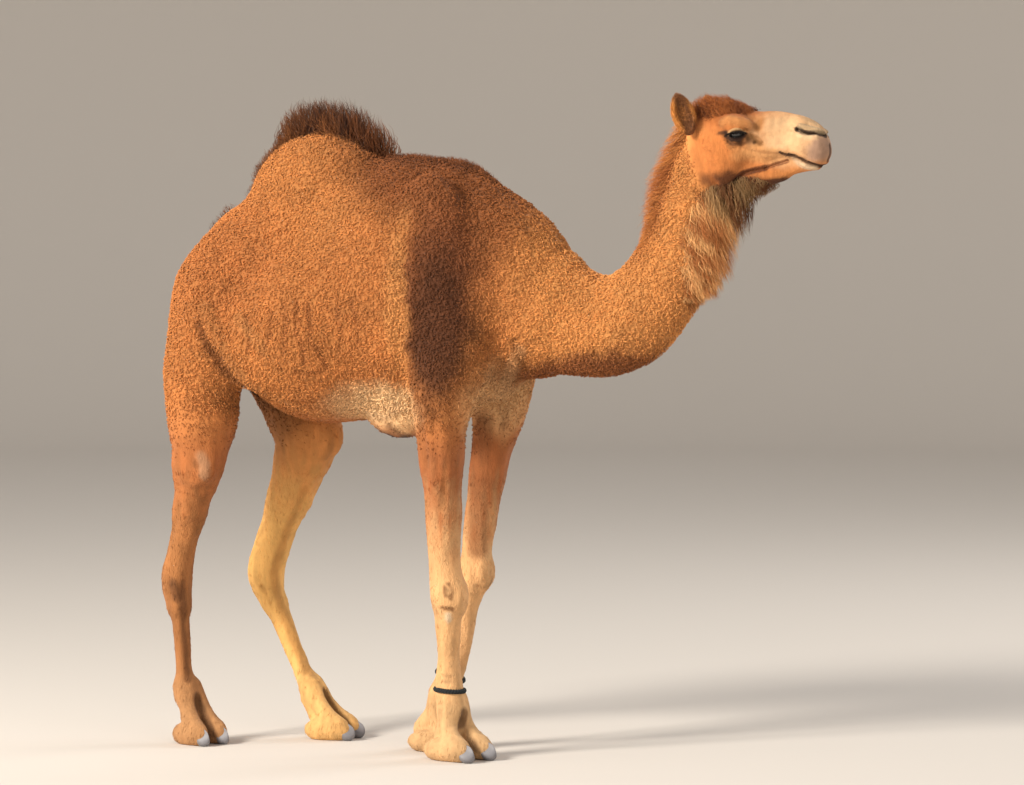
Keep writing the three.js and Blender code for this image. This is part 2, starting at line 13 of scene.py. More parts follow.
import bmesh
import bpy
import numpy as np
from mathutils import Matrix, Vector


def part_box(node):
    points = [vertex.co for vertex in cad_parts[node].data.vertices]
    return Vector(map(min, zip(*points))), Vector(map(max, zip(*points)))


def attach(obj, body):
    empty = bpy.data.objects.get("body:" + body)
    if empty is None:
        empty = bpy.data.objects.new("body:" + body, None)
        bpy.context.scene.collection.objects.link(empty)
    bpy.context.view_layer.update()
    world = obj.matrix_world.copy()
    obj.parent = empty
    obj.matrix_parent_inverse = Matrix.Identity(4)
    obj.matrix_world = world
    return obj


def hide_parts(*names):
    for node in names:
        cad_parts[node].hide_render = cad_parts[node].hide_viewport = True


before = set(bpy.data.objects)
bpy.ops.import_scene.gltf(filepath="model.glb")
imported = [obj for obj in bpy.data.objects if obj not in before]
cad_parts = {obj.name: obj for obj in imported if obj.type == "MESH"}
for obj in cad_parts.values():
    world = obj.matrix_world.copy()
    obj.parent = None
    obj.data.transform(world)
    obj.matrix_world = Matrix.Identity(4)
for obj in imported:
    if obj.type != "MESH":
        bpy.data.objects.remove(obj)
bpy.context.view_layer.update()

log = logging.getLogger("dromedary")
Vec = tuple[float, float, float]

SEED = 20
MM = 1000.0  # millimetres in a metre
EYE_AT = (1482.0, 77.0, 1870.0)  # the left eye's middle in the drawing frame, mm
EYE_RADIUS = 21.0
EYE_BOX = np.array([list(corner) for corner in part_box("eye_left")]) * MM
OFFSET = np.array(EYE_AT) - EYE_BOX.mean(0)  # from the row frame to the drawing frame, mm
FAR = 400.0  # what a field says of points that are all too far from it to matter, mm
REACH = 75.0  # how near a field has to be to matter, mm
SOLE = 1.0  # the lowest level of the skin, mm


class Side(IntEnum):
    """The animal's two sides, each with the sign of its Y."""

    RIGHT = -1
    LEFT = 1

    @property
    def word(self) -> str:
        """The side's name, as the solids use it."""
        return self.name.lower()


def smooth(t: np.ndarray) -> np.ndarray:
    """Eases 0..1 with no slope at its ends, and clips outside."""
    t = np.clip(t, 0.0, 1.0)
    return t * t * (3 - 2 * t)


def ramp(value: np.ndarray, start: float, end: float) -> np.ndarray:
    """0 at start and 1 at end, eased."""
    return smooth((value - start) / (end - start))


def unit(v: np.ndarray) -> np.ndarray:
    """Vectors at length 1."""
    return v / np.maximum(np.linalg.norm(v, axis=-1, keepdims=True), 1e-9)


def linear(hex_colour: str) -> np.ndarray:
    """An sRGB hex colour as linear red, green and blue."""
    c = np.array([int(hex_colour[i : i + 2], 16) for i in (1, 3, 5)]) / 255
    return np.where(c <= 0.04045, c / 12.92, ((c + 0.055) / 1.055) ** 2.4)


def mix(under: np.ndarray, over: np.ndarray, share: np.ndarray) -> np.ndarray:
    """One colour over another, with a share for each point."""
    return under * (1 - share[:, None]) + over * share[:, None]


def folded(p: np.ndarray) -> np.ndarray:
    """Points with the right side laid over the left one."""
    return np.stack([p[:, 0], np.abs(p[:, 1]), p[:, 2]], axis=1)


def spin(axis: int, degrees: float) -> np.ndarray:
    """The matrix that turns columns about an axis.

    Args:
        axis: 0, 1 or 2 for X, Y or Z.
        degrees: how far, by the right hand.

    Returns:
        Three rows of three numbers.
    """
    a = math.radians(degrees)
    c, s = math.cos(a), math.sin(a)
    i, j = (axis + 1) % 3, (axis + 2) % 3
    m = np.eye(3)
    m[i, i], m[i, j], m[j, i], m[j, j] = c, -s, s, c
    return m


def noise(p: np.ndarray, size: float, seed: int = 0) -> np.ndarray:
    """Smooth value noise from -1 to 1.

    Args:
        p: points, mm.
        size: size of one lump, mm.
        seed: which noise.

    Returns:
        One value for each point.
    """
    q = p / size + seed * 17.31
    cell = np.floor(q).astype(np.int64)
    f = q - cell
    f = f * f * (3 - 2 * f)
    total = np.zeros(len(p))
    for corner in range(8):
        step = np.array([corner & 1, corner >> 1 & 1, corner >> 2])
        c = cell + step
        # a hash of the corner: its numbers times large primes, scattered and cut to 16 bits
        h = (c[:, 0] * 73856093) ^ (c[:, 1] * 19349663) ^ (c[:, 2] * 83492791) ^ (seed * 7919)
        h = (h ^ (h >> 13)) * 1274126177 & 0x7FFFFFFF
        h = (h ^ (h >> 16)) & 0xFFFF
        weight = np.prod(np.where(step, f, 1 - f), axis=1)
        total += weight * (h / 32767.5 - 1)
    return total


# ---------------------------------------------------------------- fields


class Room:
    """Points that lie near each other, with the ball that holds them."""

    def __init__(self, p: np.ndarray) -> None:
        """Keeps the points by axis and finds their ball.

        Args:
            p: the points, mm.
        """
        self.x, self.y, self.z = (np.ascontiguousarray(p[:, k]) for k in range(3))
        low, high = p.min(0), p.max(0)
        self.middle = tuple(((low + high) / 2).tolist())
        self.radius = math.dist(low.tolist(), high.tolist()) / 2

    def misses(self, at: Sequence[float], radius: float) -> bool:
        """Whether a ball is too far from every point to matter."""
        return math.dist(self.middle, at) > radius + self.radius + REACH


# A field gives a value for each point of a room, negative inside, or None where all of them are far.
Field = Callable[[Room], "np.ndarray | None"]


@dataclass(frozen=True)
class Ellipsoid:
    """A field that is negative inside an ellipsoid, tilted about Y in degrees (nose down)."""

    at: Vec
    radii: Vec
    tilt: float = 0.0
    side: Side = Side.LEFT

    def __call__(self, room: Room) -> np.ndarray | None:
        """About the distance from the surface.

        Args:
            room: the points.

        Returns:
            A distance for each point, mm, or None where all of them are far.
        """
        ax, ay, az = self.at[0], self.at[1] * self.side, self.at[2]
        if room.misses((ax, ay, az), max(self.radii)):
            return None
        c, s = math.cos(math.radians(self.tilt)), math.sin(math.radians(self.tilt))
        rx, ry, rz = self.radii
        dx, dz = room.x - ax, room.z - az
        ux, uy, uz = (dx * c - dz * s) / rx, (room.y - ay) / ry, (dx * s + dz * c) / rz
        inner = np.sqrt(ux * ux + uy * uy + uz * uz)
        steep = np.sqrt((ux / rx) ** 2 + (uy / ry) ** 2 + (uz / rz) ** 2)
        return inner * (inner - 1) / np.maximum(steep, 1e-9)


class Tube:
    """A field round a smooth tapered spine of (x, y, z, radius); flat narrows it across Y."""

    def __init__(self, spine: Sequence[Sequence[float]], flat: float = 1.0, samples: int = 5) -> None:
        """Works out the beads along the spine, on a curve through its points.

        Args:
            spine: x, y, z and radius of each point, mm.
            flat: its size across Y, as a share of its height.
            samples: beads to each stretch of the spine.
        """
        s = np.array(spine, float)
        ends = np.vstack([2 * s[0] - s[1], s, 2 * s[-1] - s[-2]])
        count = (len(s) - 1) * samples
        where = np.linspace(0, len(s) - 1, count + 1)
        k = np.minimum(where.astype(int), len(s) - 2)
        t = (where - k)[:, None]
        a, b, c, d = (ends[k + i] for i in range(4))
        beads = 0.5 * (2 * b + (c - a) * t + (2 * a - 5 * b + 4 * c - d) * t**2
                       + (3 * b - a - 3 * c + d) * t**3)
        ease = smooth(t[:, 0])
        beads[:, 3] = s[k, 3] * (1 - ease) + s[k + 1, 3] * ease
        self.beads, self.flat = beads.tolist(), flat
        low, high = beads[:, :3].min(0), beads[:, :3].max(0)
        self.middle = ((low + high) / 2).tolist()
        self.radius = float(np.linalg.norm(high - low) / 2 + beads[:, 3].max())

    def __call__(self, room: Room) -> np.ndarray | None:
        """About the distance from the surface.

        Args:
            room: the points.

        Returns:
            A distance for each point, mm, or None where all of them are far.
        """
        if room.misses(self.middle, self.radius):
            return None
        best = None
        near = [not room.misses(bead[:3], bead[3]) for bead in self.beads]
        for a, b, na, nb in zip(self.beads, self.beads[1:], near, near[1:]):
            if not (na or nb):
                continue
            abx, aby, abz = b[0] - a[0], b[1] - a[1], b[2] - a[2]
            dx, dy, dz = room.x - a[0], room.y - a[1], room.z - a[2]
            h = np.clip((dx * abx + dy * aby + dz * abz) / (abx * abx + aby * aby + abz * abz), 0, 1)
            dx -= abx * h
            dy -= aby * h
            dz -= abz * h
            dy /= self.flat
            away = np.sqrt(dx * dx + dy * dy + dz * dz) - (a[3] + (b[3] - a[3]) * h)
            best = away if best is None else np.minimum(best, away)
        return best


def melt(distance: float, *fields: Field) -> Field:
    """The union of fields, melted together.

    Args:
        distance: how far from their meeting they flow into each other, mm.
        fields: what is joined.

    Returns:
        The field of the whole.
    """

    def melted(room: Room) -> np.ndarray | None:
        """The melted field.

        Args:
            room: the points.

        Returns:
            Its value at each point, or None where all of them are far.
        """
        found = None
        for other in fields:
            following = other(room)
            if following is None:
                continue
            if found is None:
                found = following
                continue
            h = np.maximum(distance - np.abs(found - following), 0) / distance
            found = np.minimum(found, following) - h * h * distance / 4
        return found

    return melted


def turned(inner: Field, at: Sequence[float], degrees: float) -> Field:
    """A field turned about an upright axis.

    Args:
        inner: the field of a foot.
        at: where the axis stands on the floor, mm.
        degrees: how far it is turned, anticlockwise from above.

    Returns:
        The turned field.
    """
    c, s = math.cos(math.radians(degrees)), math.sin(math.radians(degrees))
    middle, radius = (at[0], at[1], 100), 320  # of a ball that holds a foot, mm

    def turning(room: Room) -> np.ndarray | None:
        """The turned field.

        Args:
            room: the points.

        Returns:
            Its value at each point, or None where all of them are far.
        """
        if room.misses(middle, radius):
            return None
        dx, dy = room.x - at[0], room.y - at[1]
        return inner(Room(np.stack([at[0] + dx * c + dy * s, at[1] - dx * s + dy * c, room.z], axis=1)))

    return turning


def chunked(f: Field, p: np.ndarray, size: float = 150.0) -> np.ndarray:
    """A field at many points, one room of the space at a time, so that far muscles are passed over.

    Args:
        f: the field.
        p: the points, mm.
        size: the side of a room, mm.

    Returns:
        Its value at each point, FAR where nothing is near.
    """
    most = 128  # rooms along each axis, with the origin in the middle one
    cell = np.floor(p / size).astype(np.int64) + most // 2
    key = (cell[:, 0] * most + cell[:, 1]) * most + cell[:, 2]
    order = np.argsort(key, kind="stable")
    starts = np.flatnonzero(np.diff(key[order], prepend=-1))
    found = np.empty(len(p))
    for part in np.split(order, starts[1:]):
        values = f(Room(p[part]))
        found[part] = FAR if values is None else values
    return found


def slope(f: Field, p: np.ndarray, step: float = 1.0) -> np.ndarray:
    """A field's gradient at points."""
    here = chunked(f, p)
    return np.stack([chunked(f, p + step * np.eye(3)[k]) - here for k in range(3)], axis=1) / step


def settle(f: Field, p: np.ndarray, reach: float, turns: int = 2) -> np.ndarray:
    """Moves points on to a field's zero surface.

    Args:
        f: the field.
        p: the points, mm.
        reach: how far they may move each turn, mm.
        turns: how many times they are moved.

    Returns:
        The moved points.
    """
    for _ in range(turns):
        g = slope(f, p)
        away = np.clip(chunked(f, p) / np.maximum((g * g).sum(1), 0.2), -reach, reach)
        p = p - g * away[:, None]
    return p


# ---------------------------------------------------------------- the animal's measures


@dataclass(frozen=True)
class Leg:
    """One leg: its spine from the trunk to the fetlock, the knee's cap and the foot."""

    side: Side
    spine: Sequence[tuple[float, float, float, float]]
    knob: Ellipsoid
    foot_at: tuple[float, float]
    length: float  # of the foot
    spread: float  # between the middles of the toes
    toe: float  # half a toe's width
    turn: float  # how far the foot is turned out, degrees

    def toes(self) -> Field:
        """The two toes, their pads and the heel between them.

        Returns:
            The foot's field.
        """
        fx, fy = self.foot_at
        px, py, pz, _ = self.spine[-1]
        digits = []
        for side in Side:
            y = fy + side * self.spread / 2
            pad = Ellipsoid((fx - 6, y, 30), (self.length / 2, self.toe, 40))
            tip = Ellipsoid((fx + self.length * 0.36, y, 30), (38, self.toe * 0.72, 34))
            digit = Tube([(px, py + side * 16, pz + 20, 31),
                          (px * 0.35 + fx * 0.65 + 8, y - side * 9, 92, 28),
                          (fx + self.length * 0.28, y, 48, 27)])
            digits.append(melt(22, pad, tip, digit))
        heel = Tube([(px, py, pz - 20, self.toe * 0.92), (fx - self.length * 0.26, fy, 62, self.toe * 0.98)])
        return turned(melt(12, melt(10, *digits), heel), self.foot_at, self.side * self.turn)

    def flesh(self) -> Field:
        """The whole leg."""
        return melt(30, melt(26, Tube(self.spine), self.knob), self.toes())

    def cleft(self) -> list[Vec]:
        """The line between the toes, from the pastern down to the floor.

        Returns:
            Its points, mm.
        """
        fx, fy = self.foot_at
        px, py = self.spine[-1][0] - fx, self.spine[-1][1] - fy
        a = math.radians(self.side * self.turn)
        c, s = math.cos(a), math.sin(a)
        line = [(px + 36, py, 140), (px * 0.35 + 32, 0, 102), (self.length * 0.3, 0, 60),
                (self.length * 0.5, 0, 20)]
        return [(fx + x * c - y * s, fy + x * s + y * c, z) for x, y, z in line]


LEGS = {
    "fore_right": Leg(
        Side.RIGHT,
        [(585, -165, 1210, 95), (558, -172, 1085, 92), (548, -160, 930, 72), (548, -148, 780, 56),
         (546, -138, 600, 50), (556, -134, 500, 56), (553, -128, 415, 40), (551, -122, 320, 35),
         (552, -118, 215, 44), (560, -116, 150, 44)],
        Ellipsoid((588, -134, 490), (28, 34, 48)), (576, -115), 166, 94, 43, 16),
    "fore_left": Leg(
        Side.LEFT,
        [(590, 165, 1210, 95), (576, 165, 1060, 86), (552, 142, 900, 62), (538, 125, 760, 53),
         (526, 108, 630, 48), (522, 100, 545, 54), (500, 88, 440, 38), (488, 76, 330, 35),
         (450, 62, 215, 43), (432, 55, 150, 44)],
        Ellipsoid((552, 99, 545), (28, 34, 48)), (424, 52), 166, 88, 43, 8),
    "hind_right": Leg(
        Side.RIGHT,
        [(-250, -130, 1380, 150), (-275, -178, 1180, 130), (-274, -190, 1040, 116), (-285, -192, 900, 88),
         (-318, -182, 755, 58), (-360, -172, 620, 43), (-387, -165, 505, 50), (-381, -163, 440, 42),
         (-375, -162, 370, 28), (-368, -160, 260, 26), (-360, -158, 150, 32)],
        Ellipsoid((-245, -236, 875), (42, 22, 60)), (-316, -154), 128, 78, 35, 18),
    "hind_left": Leg(
        Side.LEFT,
        [(-250, 130, 1380, 150), (-215, 178, 1180, 128), (-140, 188, 990, 112), (-130, 186, 920, 98),
         (-172, 178, 780, 76), (-222, 170, 650, 58), (-264, 164, 515, 60), (-238, 161, 430, 44),
         (-200, 158, 360, 33), (-140, 153, 240, 29), (-84, 150, 140, 35)],
        Ellipsoid((-52, 196, 945), (50, 40, 66)), (-19, 148), 134, 76, 36, 6),
}

TRUNK = [
    Ellipsoid((335, 0, 1405), (400, 275, 398)),  # ribs
    Ellipsoid((75, 0, 1290), (335, 316, 296)),  # belly
    Ellipsoid((-120, 0, 1450), (270, 215, 250)),  # loins
    Ellipsoid((-222, 0, 1375), (252, 220, 205), -30),  # rump
    Ellipsoid((58, 0, 1645), (268, 165, 258)),  # hump
    Ellipsoid((350, 0, 1570), (150, 110, 245)),  # back, before the hump
    Ellipsoid((490, 0, 1605), (212, 105, 203)),  # withers
    Ellipsoid((600, 0, 1330), (185, 185, 265)),  # breast
    Ellipsoid((400, 0, 1100), (180, 135, 115)),  # brisket
    Ellipsoid((318, 0, 1012), (82, 70, 56)),  # the pad that it kneels on
    Ellipsoid((-165, 0, 1120), (70, 38, 55)),  # groin
]
TRUNK_PAIRS = [
    ((545, 150, 1440), (140, 95, 330), -8),  # shoulder
    ((570, 160, 1200), (125, 80, 180), 8),  # upper arm
    ((-85, 205, 1250), (150, 75, 150), 35),  # flank
    ((-220, 128, 1462), (145, 90, 125), -25),  # hip
]
NECK = Tube(
    [(610, 0, 1450, 270), (760, 0, 1365, 218), (865, 0, 1332, 174), (985, 0, 1306, 158),
     (1090, 0, 1324, 150), (1180, 0, 1400, 137), (1245, 0, 1505, 122), (1280, 0, 1620, 110),
     (1310, 0, 1740, 100), (1362, 0, 1835, 92)], flat=0.7)
SKULL = [
    Ellipsoid((1395, 0, 1888), (92, 72, 74)),  # back of the head
    Ellipsoid((1450, 0, 1885), (85, 66, 62)),  # forehead
    Ellipsoid((1560, 0, 1886), (120, 40, 52)),  # bridge of the nose
    Ellipsoid((1668, 0, 1862), (62, 44, 50), 22),  # nose
    Ellipsoid((1703, 0, 1818), (42, 44, 42)),  # upper lip
]
SKULL_PAIRS = [
    ((1470, 66, 1898), (52, 30, 30), 5),  # brow
    ((1412, 40, 1805), (72, 42, 92), 12),  # cheek
    ((1655, 24, 1832), (62, 30, 34), 0),  # side of the lip
]
MUZZLE = Tube([(1440, 0, 1848, 82), (1530, 0, 1850, 68), (1615, 0, 1855, 56), (1680, 0, 1846, 48)], flat=0.82)
JAW = Tube([(1410, 0, 1778, 56), (1500, 0, 1754, 42), (1575, 0, 1758, 32), (1625, 0, 1776, 26),
            (1690, 0, 1790, 27)], flat=0.85)
TAIL = Tube([(-452, 0, 1412, 34), (-484, 0, 1360, 27), (-494, 0, 1260, 21), (-490, 0, 1130, 18),
             (-484, 0, 1040, 16), (-482, 0, 985, 9)])


def pairs(muscles: Sequence[tuple[Vec, Vec, float]]) -> list[Ellipsoid]:
    """The same muscles on both sides."""
    return [Ellipsoid(at, radii, tilt, side) for at, radii, tilt in muscles for side in Side]


def woolly(p: np.ndarray) -> np.ndarray:
    """How woolly the coat is.

    Args:
        p: points, mm.

    Returns:
        1 on the trunk and neck, 0 on the face and lower legs, and between where the wool thins out.
    """
    # it thins out down the upper legs, on an uneven line
    high = ramp(p[:, 2] + 40 * noise(p, 60, 51), 860, 1260)
    # it reaches lower between the legs, along the belly
    belly = ramp(np.abs(p[:, 0] - 120), 500, 290) * ramp(p[:, 2], 990, 1060)
    # it ends behind the cheek, on a sloping line
    neck = ramp(p[:, 0] + 0.35 * (p[:, 2] - 1800), 1345, 1290) + ramp(p[:, 2], 1720, 1660)
    return np.clip(np.maximum(high, belly), 0, 1) * np.clip(neck, 0, 1)


class Flesh:
    """The animal's fields: its outline, out to the coat, and the skin under it."""

    under_hair = 2.0  # how deep the skin lies under short hair, mm
    under_wool = 9.0  # how much deeper it lies under full wool

    def __init__(self) -> None:
        """Puts the muscles together."""
        trunk = melt(55, *TRUNK, *pairs(TRUNK_PAIRS))
        head = melt(26, *SKULL, *pairs(SKULL_PAIRS), MUZZLE, JAW)
        body = melt(45, melt(55, trunk, NECK), head)
        self.outline = melt(45, body, *[leg.flesh() for leg in LEGS.values()], TAIL)

    def skin(self, room: Room) -> np.ndarray | None:
        """The skin: the outline less the coat's depth, which is more under wool.

        Args:
            room: the points.

        Returns:
            Its field at each point, or None where all of them are far.
        """
        found = self.outline(room)
        if found is None:
            return None
        wool = woolly(np.stack([room.x, room.y, room.z], axis=1))
        return found + self.under_hair + self.under_wool * wool


@dataclass(frozen=True)
class Brush:
    """A stroke along a line of points: it raises or sinks the skin, and can colour it.

    A stroke on the body is drawn at positive Y and falls on both sides, and one on a leg falls once.
    """

    line: Sequence[Vec]
    radius: float
    height: float = 0.0  # how far it raises the skin on its line
    colour: str = ""
    strength: float = 0.8  # the share of its colour on its line
    once: bool = False  # whether it falls only where it is drawn

    def weight(self, p: np.ndarray, slack: float = 0.0) -> np.ndarray:
        """How much of the stroke points take.

        Args:
            p: the points, mm.
            slack: how far the stroke may have moved them, mm.

        Returns:
            0 outside the stroke to 1 on its line.
        """
        q = p if self.once else folded(p)
        line = np.array(self.line, float)
        reach = self.radius + slack
        near = np.all((q > line.min(0) - reach) & (q < line.max(0) + reach), axis=1)
        found = np.zeros(len(p))
        q = q[near]
        best = np.full(len(q), FAR)
        for a, b in zip(line[:-1], line[1:]):
            ab = b - a
            h = np.clip((q - a) @ ab / max(ab @ ab, 1e-9), 0, 1)
            best = np.minimum(best, np.linalg.norm(q - a - h[:, None] * ab, axis=1))
        found[near] = np.maximum(1 - (np.maximum(best - slack, 0) / self.radius) ** 2, 0) ** 2
        return found


HEAD_BRUSHES = [
    # nostril: its slit, darkened as painted shade, the flap above it and the rim below
    Brush([(1658, 43, 1883), (1676, 45, 1872), (1694, 42, 1869), (1711, 32, 1871), (1730, 11, 1865)], 6, -9,
          "#20140f", 0.95),
    Brush([(1663, 38, 1893), (1688, 36, 1887), (1712, 26, 1880), (1726, 12, 1874)], 9, 5, "#a38c6c", 0.7),
    Brush([(1665, 46, 1866), (1690, 46, 1857), (1712, 36, 1857)], 10, 4, "#dcb890", 0.6),
    # mouth: the slit, the lips and the cleft of the upper lip, with the slit and the cleft darkened as
    # painted shade
    Brush([(1606, 42, 1813), (1636, 41, 1808), (1652, 41, 1804), (1680, 32, 1790), (1705, 23, 1778),
           (1721, 4, 1775)], 5.5, -8, "#3c2619", 0.95),
    Brush([(1622, 44, 1824), (1652, 44, 1818), (1682, 36, 1803), (1708, 26, 1792), (1728, 8, 1788)], 12, 3.5),
    Brush([(1640, 36, 1790), (1670, 26, 1774), (1700, 14, 1766)], 14, 3, "#bda283", 0.9),
    Brush([(1743, 0, 1836), (1744, 0, 1812), (1736, 0, 1790)], 7, -4, "#4c352b", 0.8),
    # the crease between the jaws, darkened as painted shade, and painted shade under the lower one
    Brush([(1616, 20, 1791), (1579, 19, 1782), (1547, 25, 1771)], 5, -6, "#6b391c", 0.8),
    Brush([(1547, 25, 1771), (1510, 33, 1763), (1481, 38, 1754), (1456, 38, 1735)], 8, -8, "#4f2712", 0.85),
    Brush([(1398, 40, 1712), (1440, 32, 1718), (1482, 26, 1726), (1550, 16, 1728), (1600, 6, 1736)], 22, 0,
          "#38190c", 0.9),
    # cheek, the ridge below the eye, and the hollows round it
    Brush([(1392, 74, 1840), (1408, 78, 1806), (1420, 66, 1770)], 40, 6),
    Brush([(1505, 62, 1836), (1542, 52, 1826), (1586, 44, 1822), (1625, 48, 1824)], 16, 5),
    Brush([(1545, 52, 1858), (1590, 44, 1860), (1632, 42, 1864)], 22, -5),
    Brush([(1375, 70, 1896)] * 2, 30, -6),
    Brush([(1404, 60, 1730), (1380, 62, 1800), (1366, 66, 1850)], 16, -4, "#a8622f", 0.5),
    Brush([(1519, 62, 1864), (1532, 56, 1855), (1545, 53, 1843)], 10, -5, "#8d6238", 0.7),
    Brush([(1527, 56, 1845)] * 2, 9, 0, "#4a3019", 0.8),
    # brow, socket and lid folds, the folds darkened as painted shade
    Brush([(1440, 78, 1902), (1462, 84, 1910), (1490, 84, 1904), (1515, 68, 1896)], 17, 7, "#bf8a55", 0.5),
    Brush([(1482, 74, 1868)] * 2, 36, 7),
    Brush([(1444, 80, 1889), (1462, 86, 1895), (1486, 86, 1892), (1510, 74, 1882)], 6, -4, "#9b6c40", 0.7),
    Brush([(1452, 74, 1848), (1472, 74, 1838), (1496, 70, 1841), (1512, 66, 1852)], 7, -3.5, "#6c4427", 0.8),
    Brush([(1436, 70, 1846), (1462, 72, 1826), (1500, 66, 1830)], 6, -2.5, "#a06c3e", 0.6),
    Brush([(1512, 52, 1925), (1540, 46, 1916), (1536, 50, 1890)], 22, 0, "#96602f", 0.75),
]
BODY_BRUSHES = [
    # the fold from the thigh to the belly and the shade under it
    Brush([(-212, 270, 1352), (-188, 267, 1285), (-146, 261, 1209), (-86, 249, 1140), (-26, 201, 1090),
           (60, 166, 1051), (126, 123, 1029)], 30, 9, "#b97b45", 0.5),
    Brush([(-236, 262, 1300), (-205, 258, 1235), (-160, 250, 1170), (-105, 225, 1115), (-50, 180, 1075)], 24,
          -10, "#6d3f22", 0.6),
    # wavy creases on the flank, darkened as painted shade
    Brush([(118, 287, 1379), (132, 298, 1320), (124, 297, 1280), (147, 293, 1245), (140, 279, 1193)], 12, -4,
          "#8a4f29", 0.4),
    Brush([(159, 284, 1365), (173, 290, 1305), (166, 286, 1262), (190, 278, 1230), (204, 256, 1184)], 12, -4,
          "#8a4f29", 0.4),
    Brush([(84, 294, 1364), (97, 304, 1304), (78, 296, 1222)], 12, -3, "#8a4f29", 0.35),
    Brush([(41, 298, 1343), (36, 302, 1273), (-1, 288, 1212)], 12, -5, "#8a4f29", 0.3),
    Brush([(-60, 285, 1330), (-40, 292, 1280), (-52, 280, 1220)], 12, -4, "#8a5029", 0.5),
    Brush([(108, 271, 1162), (169, 255, 1156), (205, 251, 1175)], 11, -5, "#8a4f29", 0.3),
    Brush([(-95, 275, 1323), (-42, 290, 1281), (9, 293, 1227)], 26, 4, "#c98d54", 0.4),
    Brush([(250, 270, 1360), (262, 272, 1290), (256, 262, 1220)], 12, -3, "#95582f", 0.4),
    Brush([(300, 265, 1380), (316, 262, 1300), (310, 250, 1230)], 12, -3, "#95582f", 0.4),
    # behind and before the shoulder
    Brush([(461, 232, 1575), (465, 251, 1412), (447, 233, 1262), (434, 186, 1141)], 34, -7),
    Brush([(712, 146, 1500), (745, 162, 1412), (731, 142, 1278)], 46, -6),
    Brush([(540, 225, 1540), (570, 240, 1440), (587, 239, 1294)], 70, 4),
    # folds of the breast and the brisket, their creases darkened as painted shade
    Brush([(790, 114, 1234), (745, 80, 1180), (697, 40, 1125), (650, 20, 1080)], 26, 7, "#cfa070", 0.5),
    Brush([(775, 122, 1262), (783, 89, 1197), (800, 60, 1172)], 14, -7, "#9c6435", 0.6),
    Brush([(640, 110, 1150), (622, 120, 1060), (610, 110, 1000)], 16, -6, "#8a5a34", 0.5),
    Brush([(384, 124, 1070), (330, 90, 1035), (260, 90, 1030)], 26, 3, "#dcb488", 0.7),
    # the groove along the neck
    Brush([(770, 150, 1400), (900, 112, 1345), (1040, 102, 1330), (1150, 96, 1410), (1230, 88, 1540)], 26,
          -5),
    # ribs, faint
    Brush([(-10, 240, 1640), (-30, 270, 1500), (-20, 285, 1400)], 30, -3),
    Brush([(110, 235, 1640), (90, 280, 1500), (100, 290, 1400)], 30, -3),
    Brush([(-170, 240, 1560), (-215, 262, 1440), (-225, 268, 1370)], 40, -7),
]
